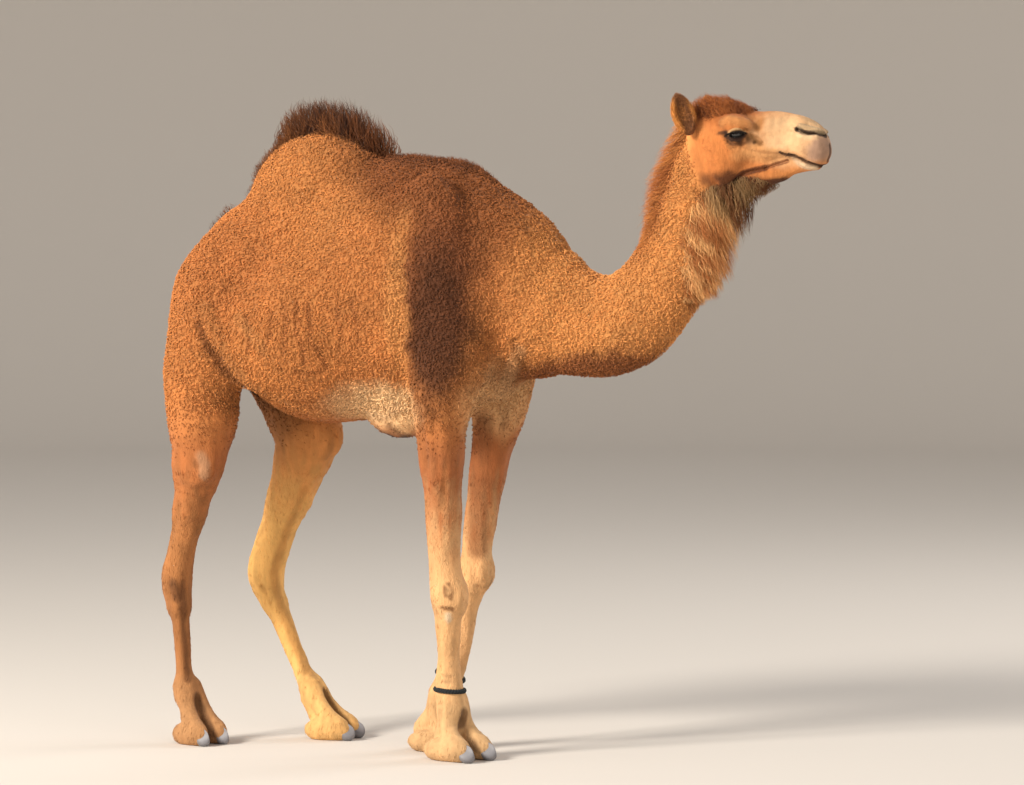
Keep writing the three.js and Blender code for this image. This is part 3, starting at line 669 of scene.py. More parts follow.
LEG_BRUSHES = [
    # right fore: the elbow, tendons, the callus on the knee, creases over the band; the hollow at the elbow,
    # the grooves and the creases are darkened as painted shade
    Brush([(470, -225, 1120), (505, -240, 1020), (530, -225, 900)], 34, -9, "#8a5630", 0.4, once=True),
    Brush([(585, -235, 1080), (600, -225, 960), (590, -205, 860)], 30, 6, once=True),
    Brush([(552, -252, 1060), (548, -240, 960), (552, -215, 850)], 22, 6, once=True),
    Brush([(600, -200, 1000), (585, -205, 880), (570, -190, 760)], 12, -5, "#a06a3d", 0.4, once=True),
    Brush([(585, -180, 536), (596, -178, 512), (588, -176, 490), (572, -182, 500), (572, -184, 524),
           (585, -180, 536)], 5, 3, "#6b4629", 0.75, once=True),
    Brush([(582, -180, 513)] * 2, 10, -2, "#8a6a4a", 0.7, once=True),
    Brush([(560, -178, 462), (590, -170, 456)], 7, -5, "#6b4629", 0.8, once=True),
    Brush([(574, -166, 440), (574, -164, 425)], 14, 3, "#dcc3a2", 0.8, once=True),
    Brush([(535, -160, 400), (532, -155, 320), (534, -150, 240)], 9, -5, "#b98a5a", 0.5, once=True),
    Brush([(585, -135, 400), (582, -130, 300)], 10, -3, once=True),
    Brush([(545, -160, 236), (585, -150, 238)], 5, -3, "#a07a55", 0.6, once=True),
    Brush([(545, -160, 250), (588, -148, 252)], 5, -2.5, "#a07a55", 0.5, once=True),
    # left fore, its grooves darkened as painted shade
    Brush([(562, 70, 560), (575, 92, 548), (574, 100, 512), (560, 80, 505)], 9, 3, "#5a3c28", 0.7, once=True),
    Brush([(552, 60, 505), (560, 55, 480)], 10, -4, "#7a5434", 0.6, once=True),
    Brush([(470, 50, 400), (462, 42, 320), (430, 30, 240)], 9, -4, "#b98a5a", 0.5, once=True),
    # painted shadow on the left forearm, as cast on it by the right leg and the breast
    Brush([(560, 100, 1010), (548, 92, 880), (538, 84, 740), (545, 72, 620)], 48, 0, "#7a4a29", 0.7,
          once=True),
    # right hind: callus on the stifle, the hock and its tendon, the shaded front of the shank; the grooves
    # and the front of the shank are darkened as painted shade
    Brush([(-238, -258, 900), (-224, -260, 871), (-230, -254, 840)], 22, 5, "#a5876a", 0.45, once=True),
    Brush([(-262, -262, 900), (-250, -268, 865)], 10, -5, "#7a5030", 0.6, once=True),
    Brush([(-330, -230, 740), (-375, -205, 640), (-405, -185, 560)], 14, -7, "#8b5a32", 0.5, once=True),
    Brush([(-410, -165, 600), (-420, -165, 540), (-408, -165, 470)], 14, 5, "#5d3a22", 0.6, once=True),
    Brush([(-372, -212, 500), (-365, -205, 455)], 20, 3, "#5f3b22", 0.75, once=True),
    Brush([(-362, -190, 560), (-350, -185, 430), (-346, -178, 330), (-340, -176, 200)], 18, -2, "#5f3a20",
          0.75, once=True),
    Brush([(-392, -170, 400), (-386, -168, 300), (-378, -166, 220)], 8, -3, once=True),
    # left hind: the thick pad of the stifle, tendon grooves darkened as painted shade
    Brush([(-60, 150, 990), (-30, 170, 940), (-40, 160, 880)], 18, 6, "#8f6238", 0.6, once=True),
    Brush([(-190, 130, 760), (-250, 128, 640), (-290, 135, 560)], 13, -7, "#b08048", 0.5, once=True),
    Brush([(-250, 115, 470), (-215, 112, 400), (-170, 115, 320)], 9, -5, "#a8773f", 0.5, once=True),
    Brush([(-225, 118, 470), (-190, 118, 400), (-150, 120, 330)], 8, 3, once=True),
    # painted shade down the front edge of the left hind leg
    Brush([(-115, 144, 780), (-178, 144, 650), (-219, 137, 515), (-205, 141, 430), (-175, 143, 360),
           (-118, 140, 240), (-62, 134, 150)], 24, 0, "#a06c38", 0.55, once=True),
]
# the clefts between the toes, darkened as painted shade
FOOT_BRUSHES = [Brush(leg.cleft(), 18, -13, "#543722", 0.75, once=True) for leg in LEGS.values()]
BRUSHES = [*HEAD_BRUSHES, *BODY_BRUSHES, *LEG_BRUSHES, *FOOT_BRUSHES]


class SkinNet:
    """Meshes a field's zero surface with one vertex to each cell that it crosses."""

    def __init__(self, f: Field, low: Sequence[float], high: Sequence[float], cell: float,
                 block: int = 5) -> None:
        """Sets the room and the grid.

        Args:
            f: the field.
            low: lowest corner, mm.
            high: highest corner, mm.
            cell: size of a cell, mm.
            block: cells along a side of the blocks that are looked at first.
        """
        self.f, self.cell, self.block = f, cell, block
        self.low = np.array(low, float)
        self.blocks = np.ceil((np.array(high) - self.low) / (cell * block)).astype(int)

    def values(self) -> np.ndarray:
        """The field on the grid, worked out only near the surface.

        Returns:
            A value at each corner of the cells, by its three numbers.
        """
        def to_cells(blocks: np.ndarray) -> np.ndarray:
            """A value for each cell from one for each block."""
            return blocks.repeat(self.block, 0).repeat(self.block, 1).repeat(self.block, 2)

        side = self.cell * self.block
        index = np.stack(np.meshgrid(*[np.arange(n) for n in self.blocks], indexing="ij"), -1)
        middle = self.low + (index.reshape(-1, 3) + 0.5) * side
        coarse = chunked(self.f, middle, 300).reshape(self.blocks)
        # a block can hold some of the surface when its middle is about as near as its corners
        wanted = np.pad(to_cells(np.abs(coarse) < side * 0.9 + 14), ((0, 1),) * 3)
        value = np.pad(to_cells(coarse), ((0, 1),) * 3, mode="edge")
        for axis in range(3):
            wanted = wanted | np.roll(wanted, 1, axis)
        where = np.argwhere(wanted)
        value[tuple(where.T)] = chunked(self.f, self.low + where * self.cell)
        return value

    def mesh(self) -> tuple[np.ndarray, np.ndarray]:
        """Makes the net.

        Returns:
            Its vertices, mm, and its four-sided faces.
        """
        value = self.values()
        inside = value < 0
        n = np.array(value.shape) - 1
        count = np.zeros(n, int)
        for corner in range(8):
            i, j, k = corner & 1, corner >> 1 & 1, corner >> 2
            count += inside[i : n[0] + i, j : n[1] + j, k : n[2] + k]
        cells = np.argwhere((count > 0) & (count < 8))
        number = np.full(n, -1)
        number[tuple(cells.T)] = np.arange(len(cells))
        return self.vertices(value, cells), self.faces(inside, number)

    def vertices(self, value: np.ndarray, cells: np.ndarray) -> np.ndarray:
        """A vertex in each crossed cell, at the mean of the places where its edges are crossed.

        Args:
            value: the field on the grid.
            cells: the numbers of the crossed cells.

        Returns:
            The vertices, mm.
        """
        total = np.zeros((len(cells), 3))
        hits = np.zeros(len(cells))
        for axis in range(3):
            u, v = (axis + 1) % 3, (axis + 2) % 3
            for du in (0, 1):
                for dv in (0, 1):
                    a = cells.copy()
                    a[:, u] += du
                    a[:, v] += dv
                    b = a.copy()
                    b[:, axis] += 1
                    va, vb = value[tuple(a.T)], value[tuple(b.T)]
                    hit = (va < 0) != (vb < 0)
                    t = np.where(hit, va / np.where(hit, va - vb, 1), 0)
                    total[:, axis] += t
                    total[:, u] += hit * du
                    total[:, v] += hit * dv
                    hits += hit
        return self.low + (cells + total / hits[:, None]) * self.cell

    def faces(self, inside: np.ndarray, number: np.ndarray) -> np.ndarray:
        """A face round each edge of the grid that is crossed.

        Args:
            inside: whether each corner of the grid is inside.
            number: the vertex in each cell, or -1.

        Returns:
            Four vertex numbers for each face.
        """
        faces = []
        n = number.shape
        step = np.eye(3, dtype=int)
        for axis in range(3):
            u, v = (axis + 1) % 3, (axis + 2) % 3
            a = inside[tuple(slice(0, n[k]) for k in range(3))]
            b = inside[tuple(slice(1, n[k] + 1) if k == axis else slice(0, n[k]) for k in range(3))]
            at = np.argwhere(a != b)
            at = at[(at[:, u] > 0) & (at[:, v] > 0)]
            quad = np.stack([number[tuple((at - s).T)] for s in
                             (step[u] + step[v], step[v], 0 * step[u], step[u])], axis=1)
            out = ~a[tuple(at.T)]
            quad[out] = quad[out][:, ::-1]
            faces.append(quad)
        return np.concatenate(faces)


# ---------------------------------------------------------------- meshes


def wrapped(rows: int, around: int, closed: bool = False, flip: bool = False) -> list[tuple[int, ...]]:
    """The four-sided faces between rows of points that each close round on themselves.

    Args:
        rows: how many rows.
        around: points in each row.
        closed: whether the last row joins the first.
        flip: whether the faces look the other way.

    Returns:
        Vertex numbers of each face.
    """
    faces = []
    for row in range(rows if closed else rows - 1):
        here, there = row * around, (row + 1) % rows * around
        for k in range(around):
            ahead = (k + 1) % around
            face = (here + k, here + ahead, there + ahead, there + k)
            faces.append(face[:1] + face[:0:-1] if flip else face)
    return faces


def placed(name: str, data: bpy.types.ID) -> bpy.types.Object:
    """Puts an object in the scene.

    Args:
        name: the object's name.
        data: its mesh, light or camera.

    Returns:
        The object.
    """
    made = bpy.data.objects.new(name, data)
    bpy.context.scene.collection.objects.link(made)
    return made


def mesh_object(name: str, points: np.ndarray, faces: Sequence) -> bpy.types.Object:
    """Makes a smooth mesh object from points in the drawing frame, mm.

    Args:
        name: the object's name.
        points: vertices.
        faces: lists of vertex numbers.

    Returns:
        The object, in the row frame, in metres.
    """
    mesh = bpy.data.meshes.new(name)
    mesh.from_pydata(((points - OFFSET) / MM).tolist(), [], [list(f) for f in faces])
    mesh.polygons.foreach_set("use_smooth", [True] * len(mesh.polygons))
    mesh.update()
    return placed(name, mesh)


def points_of(mesh: bpy.types.Mesh) -> np.ndarray:
    """A mesh's vertices in the drawing frame.

    Args:
        mesh: the mesh.

    Returns:
        The points, mm.
    """
    co = np.zeros(len(mesh.vertices) * 3)
    mesh.vertices.foreach_get("co", co)
    return co.reshape(-1, 3) * MM + OFFSET


def set_points(mesh: bpy.types.Mesh, points: np.ndarray) -> None:
    """Moves a mesh's vertices to points in the drawing frame, mm."""
    mesh.vertices.foreach_set("co", ((points - OFFSET) / MM).ravel())
    mesh.update()


@dataclass
class Skin:
    """The one skin under the coat: its net, mm, and how much it is lumped under the hair."""

    flesh: Flesh
    low: Vec = (-540, -330, -30)
    high: Vec = (1780, 330, 2010)
    cell: float = 9.0
    head_from: tuple[float, float] = (1345, 1700)  # the X and Z past which the head's finer net starts
    feet_to: float = 200.0  # the height of the feet's finer net
    narrow: float = 12.0  # strokes on the head that are narrower than this have the finest net
    wool_lumps: float = 3.0
    tendon_lumps: float = 3.2
    made: bpy.types.Object | None = None

    def build(self) -> bpy.types.Object:
        """Meshes the skin, finer on the head and feet, and carves it.

        Returns:
            The skin's object.
        """
        points, faces = SkinNet(self.flesh.skin, self.low, self.high, self.cell).mesh()
        points = settle(self.flesh.skin, points, self.cell / 2)
        points[:, 2] = np.maximum(points[:, 2], SOLE)
        self.made = mesh_object("skin", points, faces)
        self.refine(lambda p: (p[:, 0] > self.head_from[0]) & (p[:, 2] > self.head_from[1]), 2)
        self.refine(lambda p: p[:, 2] < self.feet_to, 1)
        self.refine(self.near_narrow, 1)
        self.carve()
        return self.made

    def near_narrow(self, p: np.ndarray) -> np.ndarray:
        """Whether points are near the narrow strokes of the head."""
        return np.max([brush.weight(p) for brush in HEAD_BRUSHES if brush.radius < self.narrow], axis=0) > 0

    def carve(self) -> None:
        """Moves the skin by its brushes, and by small lumps under the wool."""
        mesh = self.made.data
        points = points_of(mesh)
        out = unit(slope(self.flesh.skin, points))
        lift = np.sum([brush.weight(points) * brush.height for brush in BRUSHES if brush.height], axis=0)
        wool = woolly(points)
        # rounded lumps of two sizes where wool grows
        lumps = np.abs(noise(points, 17, 41)) + 0.6 * np.abs(noise(points, 34, 42)) - 0.5
        lift += wool * self.wool_lumps * lumps
        # long upright lumps on the legs, as over tendons, down to the feet
        strung = noise(points * np.array([1, 1, 0.3]), 19, 43) * ramp(points[:, 2], 120, 240)
        lift += (1 - wool) * self.tendon_lumps * strung * (points[:, 0] < 1000)
        points += out * lift[:, None]
        points[:, 2] = np.maximum(points[:, 2], SOLE)
        set_points(mesh, points)

    def refine(self, where: Callable[[np.ndarray], np.ndarray], cuts: int) -> None:
        """Divides the faces of a region and settles its vertices again.

        Args:
            where: whether points are in the region.
            cuts: how many times each edge is cut.
        """
        mesh = self.made.data
        chosen = where(points_of(mesh))
        bm = bmesh.new()
        bm.from_mesh(mesh)
        bm.verts.ensure_lookup_table()
        edges = [e for e in bm.edges if chosen[e.verts[0].index] and chosen[e.verts[1].index]]
        bmesh.ops.subdivide_edges(bm, edges=edges, cuts=cuts, use_grid_fill=True)
        bm.to_mesh(mesh)
        bm.free()
        points = points_of(mesh)
        near = where(points)
        points[near] = settle(self.flesh.skin, points[near], 2.5)
        points[:, 2] = np.maximum(points[:, 2], SOLE)
        set_points(mesh, points)
        mesh.polygons.foreach_set("use_smooth", [True] * len(mesh.polygons))


def paint(mesh: bpy.types.Mesh, colour: np.ndarray) -> None:
    """Keeps a linear colour at each vertex, where the hair finishes read it.

    Args:
        mesh: the mesh.
        colour: red, green and blue for each vertex.
    """
    layer = mesh.attributes.new("coat_colour", "FLOAT_COLOR", "POINT")
    whole = np.hstack([colour, np.ones((len(colour), 1))])
    layer.data.foreach_set("color", whole.astype(np.float32).ravel())


# ---------------------------------------------------------------- colours of the skin and coat


@dataclass(frozen=True)
class Patch:
    """A soft-edged patch of colour: an ellipsoid of the body, on both sides."""

    at: Vec
    radii: Vec
    colour: str
    strength: float = 1.0
    tilt: float = 0.0
    edge: float = 0.5  # how wide its soft edge is, as a share of its radii

    def weight(self, p: np.ndarray) -> np.ndarray:
        """How much of the patch's colour points take.

        Args:
            p: the points, mm.

        Returns:
            0 outside it, up to its strength inside.
        """
        away = (folded(p) - np.array(self.at)) @ spin(1, self.tilt)
        r = np.linalg.norm(away / np.array(self.radii), axis=1)
        return self.strength * smooth((1 + self.edge / 2 - r) / self.edge)


class Markings:
    """The colours of the coat, with painted shade and light among them, as functions of the place on the
    body.
    """

    wool = linear("#c98146")
    neck = linear("#dd9654")
    face = linear("#ad6a38")
    arm = linear("#985a32")
    fore = linear("#d0a06e")
    thigh = linear("#a06034")
    # painted light: the left thigh is lighter, as where the sun falls on it
    far_thigh_lit = linear("#bd8048")
    hind = linear("#9a653a")
    # the left hind leg: paler in itself, and lighter still as painted light where the sun falls on it
    far_hind_pale_and_lit = linear("#dba963")
    foot = linear("#c69e70")
    patches = [
        Patch((60, 160, 1700), (270, 200, 190), "#ca8549", 0.8, edge=0.8),  # the hump
        Patch((-200, 200, 1500), (220, 200, 220), "#c07640", 0.5, edge=1.0),  # the rump
        Patch((450, 60, 1745), (290, 230, 155), "#884e29", 0.9, 18, 1.0),  # the withers
        Patch((640, 90, 1560), (140, 170, 190), "#9a5c31", 0.8, 40, 1.1),  # before the withers
        Patch((565, 215, 1400), (125, 180, 280), "#7c4526", 0.85, 4, 0.9),  # the shoulder
        Patch((575, 235, 1290), (98, 150, 235), "#5b331b", 0.9, 2, 0.9),  # the upper arm, darkest
        Patch((440, 250, 1350), (28, 120, 260), "#e09c5a", 0.75, 2, 1.2),  # a pale edge behind the shoulder
        Patch((-20, 250, 1180), (190, 160, 110), "#cf8749", 0.5, -10, 1.0),  # the flank
        Patch((350, 130, 1050), (190, 150, 80), "#f2c793", 0.95, 0, 0.9),  # the cream belly
        Patch((640, 60, 1090), (110, 130, 130), "#dcae7a", 0.8, 30, 0.9),  # the breast
        Patch((318, 0, 990), (66, 66, 40), "#35251d", 0.95, 0, 0.5),  # the pad that it kneels on
        Patch((60, 0, 1940), (330, 45, 110), "#452818", 0.95, 6, 0.6),  # under the hump's tuft
        Patch((-240, 0, 1650), (170, 34, 280), "#54301c", 0.85, 40, 0.7),  # the hump's rear ridge
        Patch((430, 0, 1810), (190, 60, 60), "#6a3c22", 0.6, 6, 1.2),  # the ridge of the withers
        Patch((-165, 0, 1090), (90, 50, 70), "#35221a", 0.9, 0, 0.6),  # the groin, painted shade
        Patch((-250, 20, 1050), (180, 130, 170), "#5e3820", 0.7, 0, 1.0),  # between the thighs, painted shade
        Patch((1000, 0, 1175), (360, 150, 60), "#8a4f2a", 0.9, -4, 0.9),  # under the neck, painted shade
        Patch((1195, 0, 1700), (70, 100, 230), "#ad6433", 0.8, 14, 0.9),  # the nape
        Patch((1395, 30, 1950), (105, 84, 52), "#86451f", 0.95, 12, 0.8),  # the crown
        Patch((1420, 60, 1925), (80, 60, 26), "#a8622e", 0.7, 8, 0.9),  # below the crown
        Patch((1400, 70, 1820), (70, 60, 80), "#bb713a", 0.8, 0, 1.0),  # the cheek
        Patch((1640, 0, 1860), (140, 80, 80), "#c9a278", 0.95, 0, 0.9),  # the cream muzzle
        Patch((1560, 50, 1810), (90, 60, 26), "#c48c56", 0.7, 6, 0.9),  # along the mouth
        Patch((1480, 82, 1858), (42, 34, 30), "#2c1c13", 0.95, 6, 0.5),  # round the eye
        Patch((1442, 80, 1872), (20, 30, 8), "#2a1a12", 0.8, 0, 0.9),  # the eye's rear corner
        Patch((1522, 66, 1858), (20, 30, 10), "#4a3019", 0.8, 20, 0.9),  # the eye's front corner
        Patch((1690, 0, 1908), (36, 24, 14), "#a98a66", 0.7, 20, 0.9),  # the bridge of the nose
        Patch((1718, 20, 1830), (38, 46, 42), "#9a7a66", 0.9, 0, 0.8),  # the upper lip
        Patch((1600, 0, 1752), (70, 40, 18), "#b8763f", 0.7, -8, 0.9),  # the chin
        Patch((1450, 30, 1730), (105, 70, 28), "#4a2613", 0.9, 8, 0.8),  # the throat, painted shade under the jaw
    ]

    def __call__(self, p: np.ndarray) -> np.ndarray:
        """The colour of the coat.

        Args:
            p: points, mm.

        Returns:
            A linear colour for each point.
        """
        # every edge is looked up at a place that is pushed about, so that it comes out uneven
        q = p + 16 * np.stack([noise(p, 45, k) + 0.4 * noise(p, 16, k + 3) for k in (1, 2, 3)], axis=1)
        streak = noise(p * np.array([1, 1, 0.22]), 13, 9)
        out = mix(self.leg(q, streak), self.trunk(q), ramp(q[:, 2], 880, 1120))
        for patch in self.patches:
            out = mix(out, linear(patch.colour), patch.weight(q))
        for brush in BRUSHES:
            if brush.colour:
                # a carved place has moved off the line of its stroke, and still takes the colour
                share = np.minimum(1.5 * brush.weight(p, 0.6 * abs(brush.height)), 1) * brush.strength
                out = mix(out, linear(brush.colour), share)
        # mottled in wool, streaked along the hair elsewhere
        bare = 1 - woolly(p)
        fine = 0.10 * noise(p, 14, 6) * (1 - bare) + (0.17 * streak + 0.10 * noise(p, 9, 7)) * bare
        return out * (1 + 0.12 * noise(p, 60, 5) + fine)[:, None]

    def leg(self, q: np.ndarray, streak: np.ndarray) -> np.ndarray:
        """The legs: the left hind one is paler, partly in itself and partly as painted light where the sun
        falls on it, and all are paler at the foot.

        Args:
            q: points, pushed about, mm.
            streak: the noise that runs along the hair there.

        Returns:
            A linear colour for each point.
        """
        front, left = ramp(q[:, 0], 60, 240), ramp(q[:, 1], -20, 40)
        thigh = mix(self.thigh, self.far_thigh_lit, left)
        hind = mix(mix(self.hind, self.far_hind_pale_and_lit, left), thigh, ramp(q[:, 2] + 60 * streak, 620, 920))
        fore = mix(self.fore, self.arm, ramp(q[:, 2] + 90 * streak, 540, 880))
        return mix(mix(hind, fore, front), self.foot, ramp(q[:, 2], 300, 90) * (0.35 + 0.65 * front))

    def trunk(self, q: np.ndarray) -> np.ndarray:
        """The trunk, going over to the neck and then to the face."""
        out = mix(self.wool, self.neck, ramp(q[:, 0], 680, 900))
        return mix(out, self.face, ramp(q[:, 0], 1300, 1380) * ramp(q[:, 2], 1660, 1760))


# ---------------------------------------------------------------- the coat


# The charts of the unwrap are the trunk, neck and head, then the right and left hind and fore legs.
CHART_LOW = np.array([(-560, -340, 900), (690, -200, 1100), (1320, -130, 1640),
                      *[(-450, -250, 0)] * 2, *[(300, -200, 0)] * 2])
CHART_SIZE = np.array([(1300, 680, 1120), (700, 400, 900), (480, 260, 380), *[(500, 500, 980)] * 4])
CHART_EDGE = 0.06  # the clear border of a chart, as a share of its place


def charts(p: np.ndarray, n: np.ndarray) -> np.ndarray:
    """Places on an unwrap of the skin, 0..1: each side of the trunk, neck, head and legs has its chart.

    Args:
        p: points on the skin, mm.
        n: unit normals there.

    Returns:
        U and V for each point.
    """
    part = np.zeros(len(p), int)
    part[(p[:, 0] > 700)] = 1
    part[(p[:, 0] > 1330) & (p[:, 2] > 1650)] = 2
    leg = p[:, 2] < 960
    part[leg] = 3 + (p[leg, 1] > 0) + 2 * (p[leg, 0] > 100)
    axis = np.argmax(np.abs(n), axis=1)
    face = axis * 2 + (n[np.arange(len(n)), axis] > 0)
    q = (p - CHART_LOW[part]) / CHART_SIZE[part]
    flat = np.stack([np.where(axis == 0, q[:, 1], q[:, 0]), np.where(axis == 2, q[:, 1], q[:, 2])], axis=1)
    inner = CHART_EDGE + (1 - 2 * CHART_EDGE) * np.clip(flat, 0, 1)
    return (np.stack([face, part], axis=1) + inner) / (6, len(CHART_LOW))


@dataclass
class Roots:
    """Where tufts grow: points on the skin with normals and places on its unwrap."""

    p: np.ndarray
    n: np.ndarray

    def only(self, keep: np.ndarray) -> "Roots":
        """The roots of a mask."""
        return Roots(self.p[keep], self.n[keep])


@dataclass
class Growth:
    """How a batch of tufts grows: an array has a value for each tuft, and sizes are in mm."""

    roots: Roots
    along: np.ndarray  # which way it lies, a unit vector
    length: np.ndarray
    width: np.ndarray
    thick: np.ndarray
    lift: np.ndarray  # how far its middle stands off the skin
    curl: np.ndarray  # how far it waves to the sides
    turn: np.ndarray  # how far the wave goes along it, radians
    droop: np.ndarray  # how far its tip sags
    colour: np.ndarray
    rings: int = 3
    pull: float = 0.0  # how much of the way tips are drawn together, 0..1
    clump: float = 30.0  # over how large a place they are drawn together
    tip_light: float = 0.18  # how much lighter a tip is than the colour


@dataclass
class Coat:
    """Makes meshes of tufts: each is a thin, three-sided closed lock that tapers to its tip."""

    rng: np.random.Generator
    material: bpy.types.Material
    most: int = 190000  # triangles in a piece
    narrowed: float = 0.75  # how much of its width a lock loses towards its tip
    root_dark: float = 0.22  # how much darker a root is than the colour
    patch: float = 0.003  # the side of a lock's place on the unwrap
    floor: float = 3.0  # no lock goes lower, mm
    triangles: int = 0

    def paths(self, g: Growth) -> tuple[np.ndarray, np.ndarray]:
        """Where the tufts run.

        Args:
            g: how they grow.

        Returns:
            The middles of each tuft's rings, mm, and the direction across each tuft.
        """
        s = np.linspace(0, 1, g.rings + 1)[None, :, None]
        t = g.along[:, None, :]
        n = g.roots.n[:, None, :]
        b = unit(np.cross(g.roots.n, g.along))
        start = self.rng.uniform(0, 2 * math.pi, len(t))[:, None, None]
        wave = np.sin(start + s * g.turn[:, None, None]) - np.sin(start)
        # it starts a little under the skin, rises, and comes part of the way down again
        rise = np.sin(np.minimum(s * 2.4, 0.72 * math.pi)) - 0.15
        path = (g.roots.p[:, None, :] + t * s * g.length[:, None, None]
                + b[:, None, :] * wave * g.curl[:, None, None] + n * rise * g.lift[:, None, None])
        path[:, :, 2] -= (s[..., 0] ** 2) * g.droop[:, None]
        path[:, :, 2] = np.maximum(path[:, :, 2], self.floor)
        if g.pull > 0:
            stray = self.rng.uniform(-0.15, 0.15, (len(b), 3))
            key = np.floor((g.roots.p + stray * g.clump) / g.clump)
            _, member = np.unique(key.astype(int), axis=0, return_inverse=True)
            member = member.ravel()
            count = np.bincount(member)[:, None]
            tips = np.stack([np.bincount(member, path[:, -1, k]) for k in range(3)], axis=1) / count
            path += (tips[member] - path[:, -1])[:, None, :] * g.pull * s**1.5
        return path, b

    def grow(self, name: str, g: Growth, slot: str, nodes: Sequence[str] = ()) -> list[bpy.types.Object]:
        """Makes the pieces of one part of the coat.

        Args:
            name: what the pieces are called.
            g: how the tufts grow.
            slot: the record's material slot, not used.
            nodes: solids that the first piece stands for.

        Returns:
            The pieces.
        """
        each = 6 * (g.rings - 1) + 4  # triangles
        order = np.argsort(g.roots.p[:, 0], kind="stable")
        path, b = self.paths(g)
        pieces = []
        parts = max(1, math.ceil(len(order) * each / self.most))
        for i, chosen in enumerate(np.array_split(order, parts)):
            piece = self.piece(f"{name}_{i + 1}" if parts > 1 else name, g, path[chosen], b[chosen], chosen)
            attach(piece, "root")
            if i == 0 and nodes:
                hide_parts(*nodes)
            pieces.append(piece)
            self.triangles += len(chosen) * each
        return pieces

    def points(self, g: Growth, path: np.ndarray, b: np.ndarray, chosen: np.ndarray) -> np.ndarray:
        """The vertices of some tufts: rings of three that narrow along them, then their tips.

        Args:
            g: how the tufts grow.
            path: the middles of their rings, mm.
            b: the direction across each tuft.
            chosen: their numbers in the batch.

        Returns:
            Points by tuft and vertex, mm.
        """
        taper = (1 - self.narrowed * np.linspace(0, 1, g.rings + 1) ** 1.6)[None, : g.rings, None]
        aside = b[:, None, :] * g.width[chosen][:, None, None] * taper / 2
        up = g.roots.n[chosen][:, None, :] * g.thick[chosen][:, None, None] * taper
        ring = path[:, : g.rings]
        rings = np.stack([ring - aside, ring + aside, ring + up], axis=2)
        return np.concatenate([rings.reshape(len(chosen), -1, 3), path[:, g.rings :]], axis=1)

    def corners(self, rings: int) -> tuple[np.ndarray, np.ndarray]:
        """The faces of one tuft: its sides, its tip and its root.

        Args:
            rings: rings of vertices below the tip.

        Returns:
            The vertex at each corner, face after face, and the number of corners of each face.
        """
        sides = wrapped(rings, 3)
        last = 3 * (rings - 1)
        tips = [(last + k, last + (k + 1) % 3, 3 * rings) for k in range(3)]
        faces = [*sides, *tips, (0, 2, 1)]
        return np.array([v for face in faces for v in face]), np.array([len(face) for face in faces])

    def piece(self, name: str, g: Growth, path: np.ndarray, b: np.ndarray,
              chosen: np.ndarray) -> bpy.types.Object:
        """One joined mesh of some of the tufts.

        Args:
            name: the piece's name.
            g: how the tufts grow.
            path: the middles of their rings, mm.
            b: the direction across each tuft.
            chosen: their numbers in the batch.

        Returns:
            The piece, painted and unwrapped.
        """
        verts = self.points(g, path, b, chosen)
        count, each = verts.shape[:2]
        corners, sizes = self.corners(g.rings)
        mesh = bpy.data.meshes.new(name)
        mesh.vertices.add(count * each)
        mesh.vertices.foreach_set("co", ((verts.reshape(-1, 3) - OFFSET) / MM).ravel())
        row = np.arange(count)[:, None]
        mesh.loops.add(count * len(corners))
        mesh.loops.foreach_set("vertex_index", (row * each + corners).ravel())
        mesh.polygons.add(count * len(sizes))
        starts = np.cumsum(sizes) - sizes
        mesh.polygons.foreach_set("loop_start", (row * len(corners) + starts).ravel())
        mesh.polygons.foreach_set("use_smooth", np.ones(count * len(sizes), bool))
        mesh.update(calc_edges=True)
        mesh.validate()
        along = np.append(np.repeat(np.linspace(0, 1, g.rings + 1)[: g.rings], 3), 1.0)
        shade = 1 - self.root_dark + (self.root_dark + g.tip_light) * along
        paint(mesh, (g.colour[chosen][:, None, :] * shade[None, :, None]).reshape(-1, 3))
        across = np.array([0.0, 0.5, 1.0] * g.rings + [0.5])
        flat = np.stack([across, along], axis=1)[corners]
        flat[-3:] = [(0, 0), (0.5, -0.1), (1, 0)]
        places = charts(g.roots.p[chosen], g.roots.n[chosen])
        uv = places[:, None, :] + (flat - 0.5)[None] * self.patch
        mesh.uv_layers.new(name="OFBake").data.foreach_set("uv", uv.astype(np.float32).ravel())
        mesh.materials.append(self.material)
        return placed(name, mesh)


# ---------------------------------------------------------------- finishes


def add_node(tree: bpy.types.NodeTree, kind: str, settings: dict | None = None, *first: object,
             **inputs: object) -> bpy.types.Node:
    """Adds a shader node with its settings and links.

    Args:
        tree: where it goes.
        kind: its type.
        settings: its properties.
        first: its first inputs in order, each a value or an output to link from.
        inputs: the same by input name, with _ for a space.

    Returns:
        The node.
    """
    made = tree.nodes.new(kind)
    for name, value in (settings or {}).items():
        setattr(made, name, value)
    named = [(name.replace("_", " "), value) for name, value in inputs.items()]
    for place, value in [*enumerate(first), *named]:
        if isinstance(value, bpy.types.NodeSocket):
            tree.links.new(value, made.inputs[place])
        else:
            made.inputs[place].default_value = value
    return made


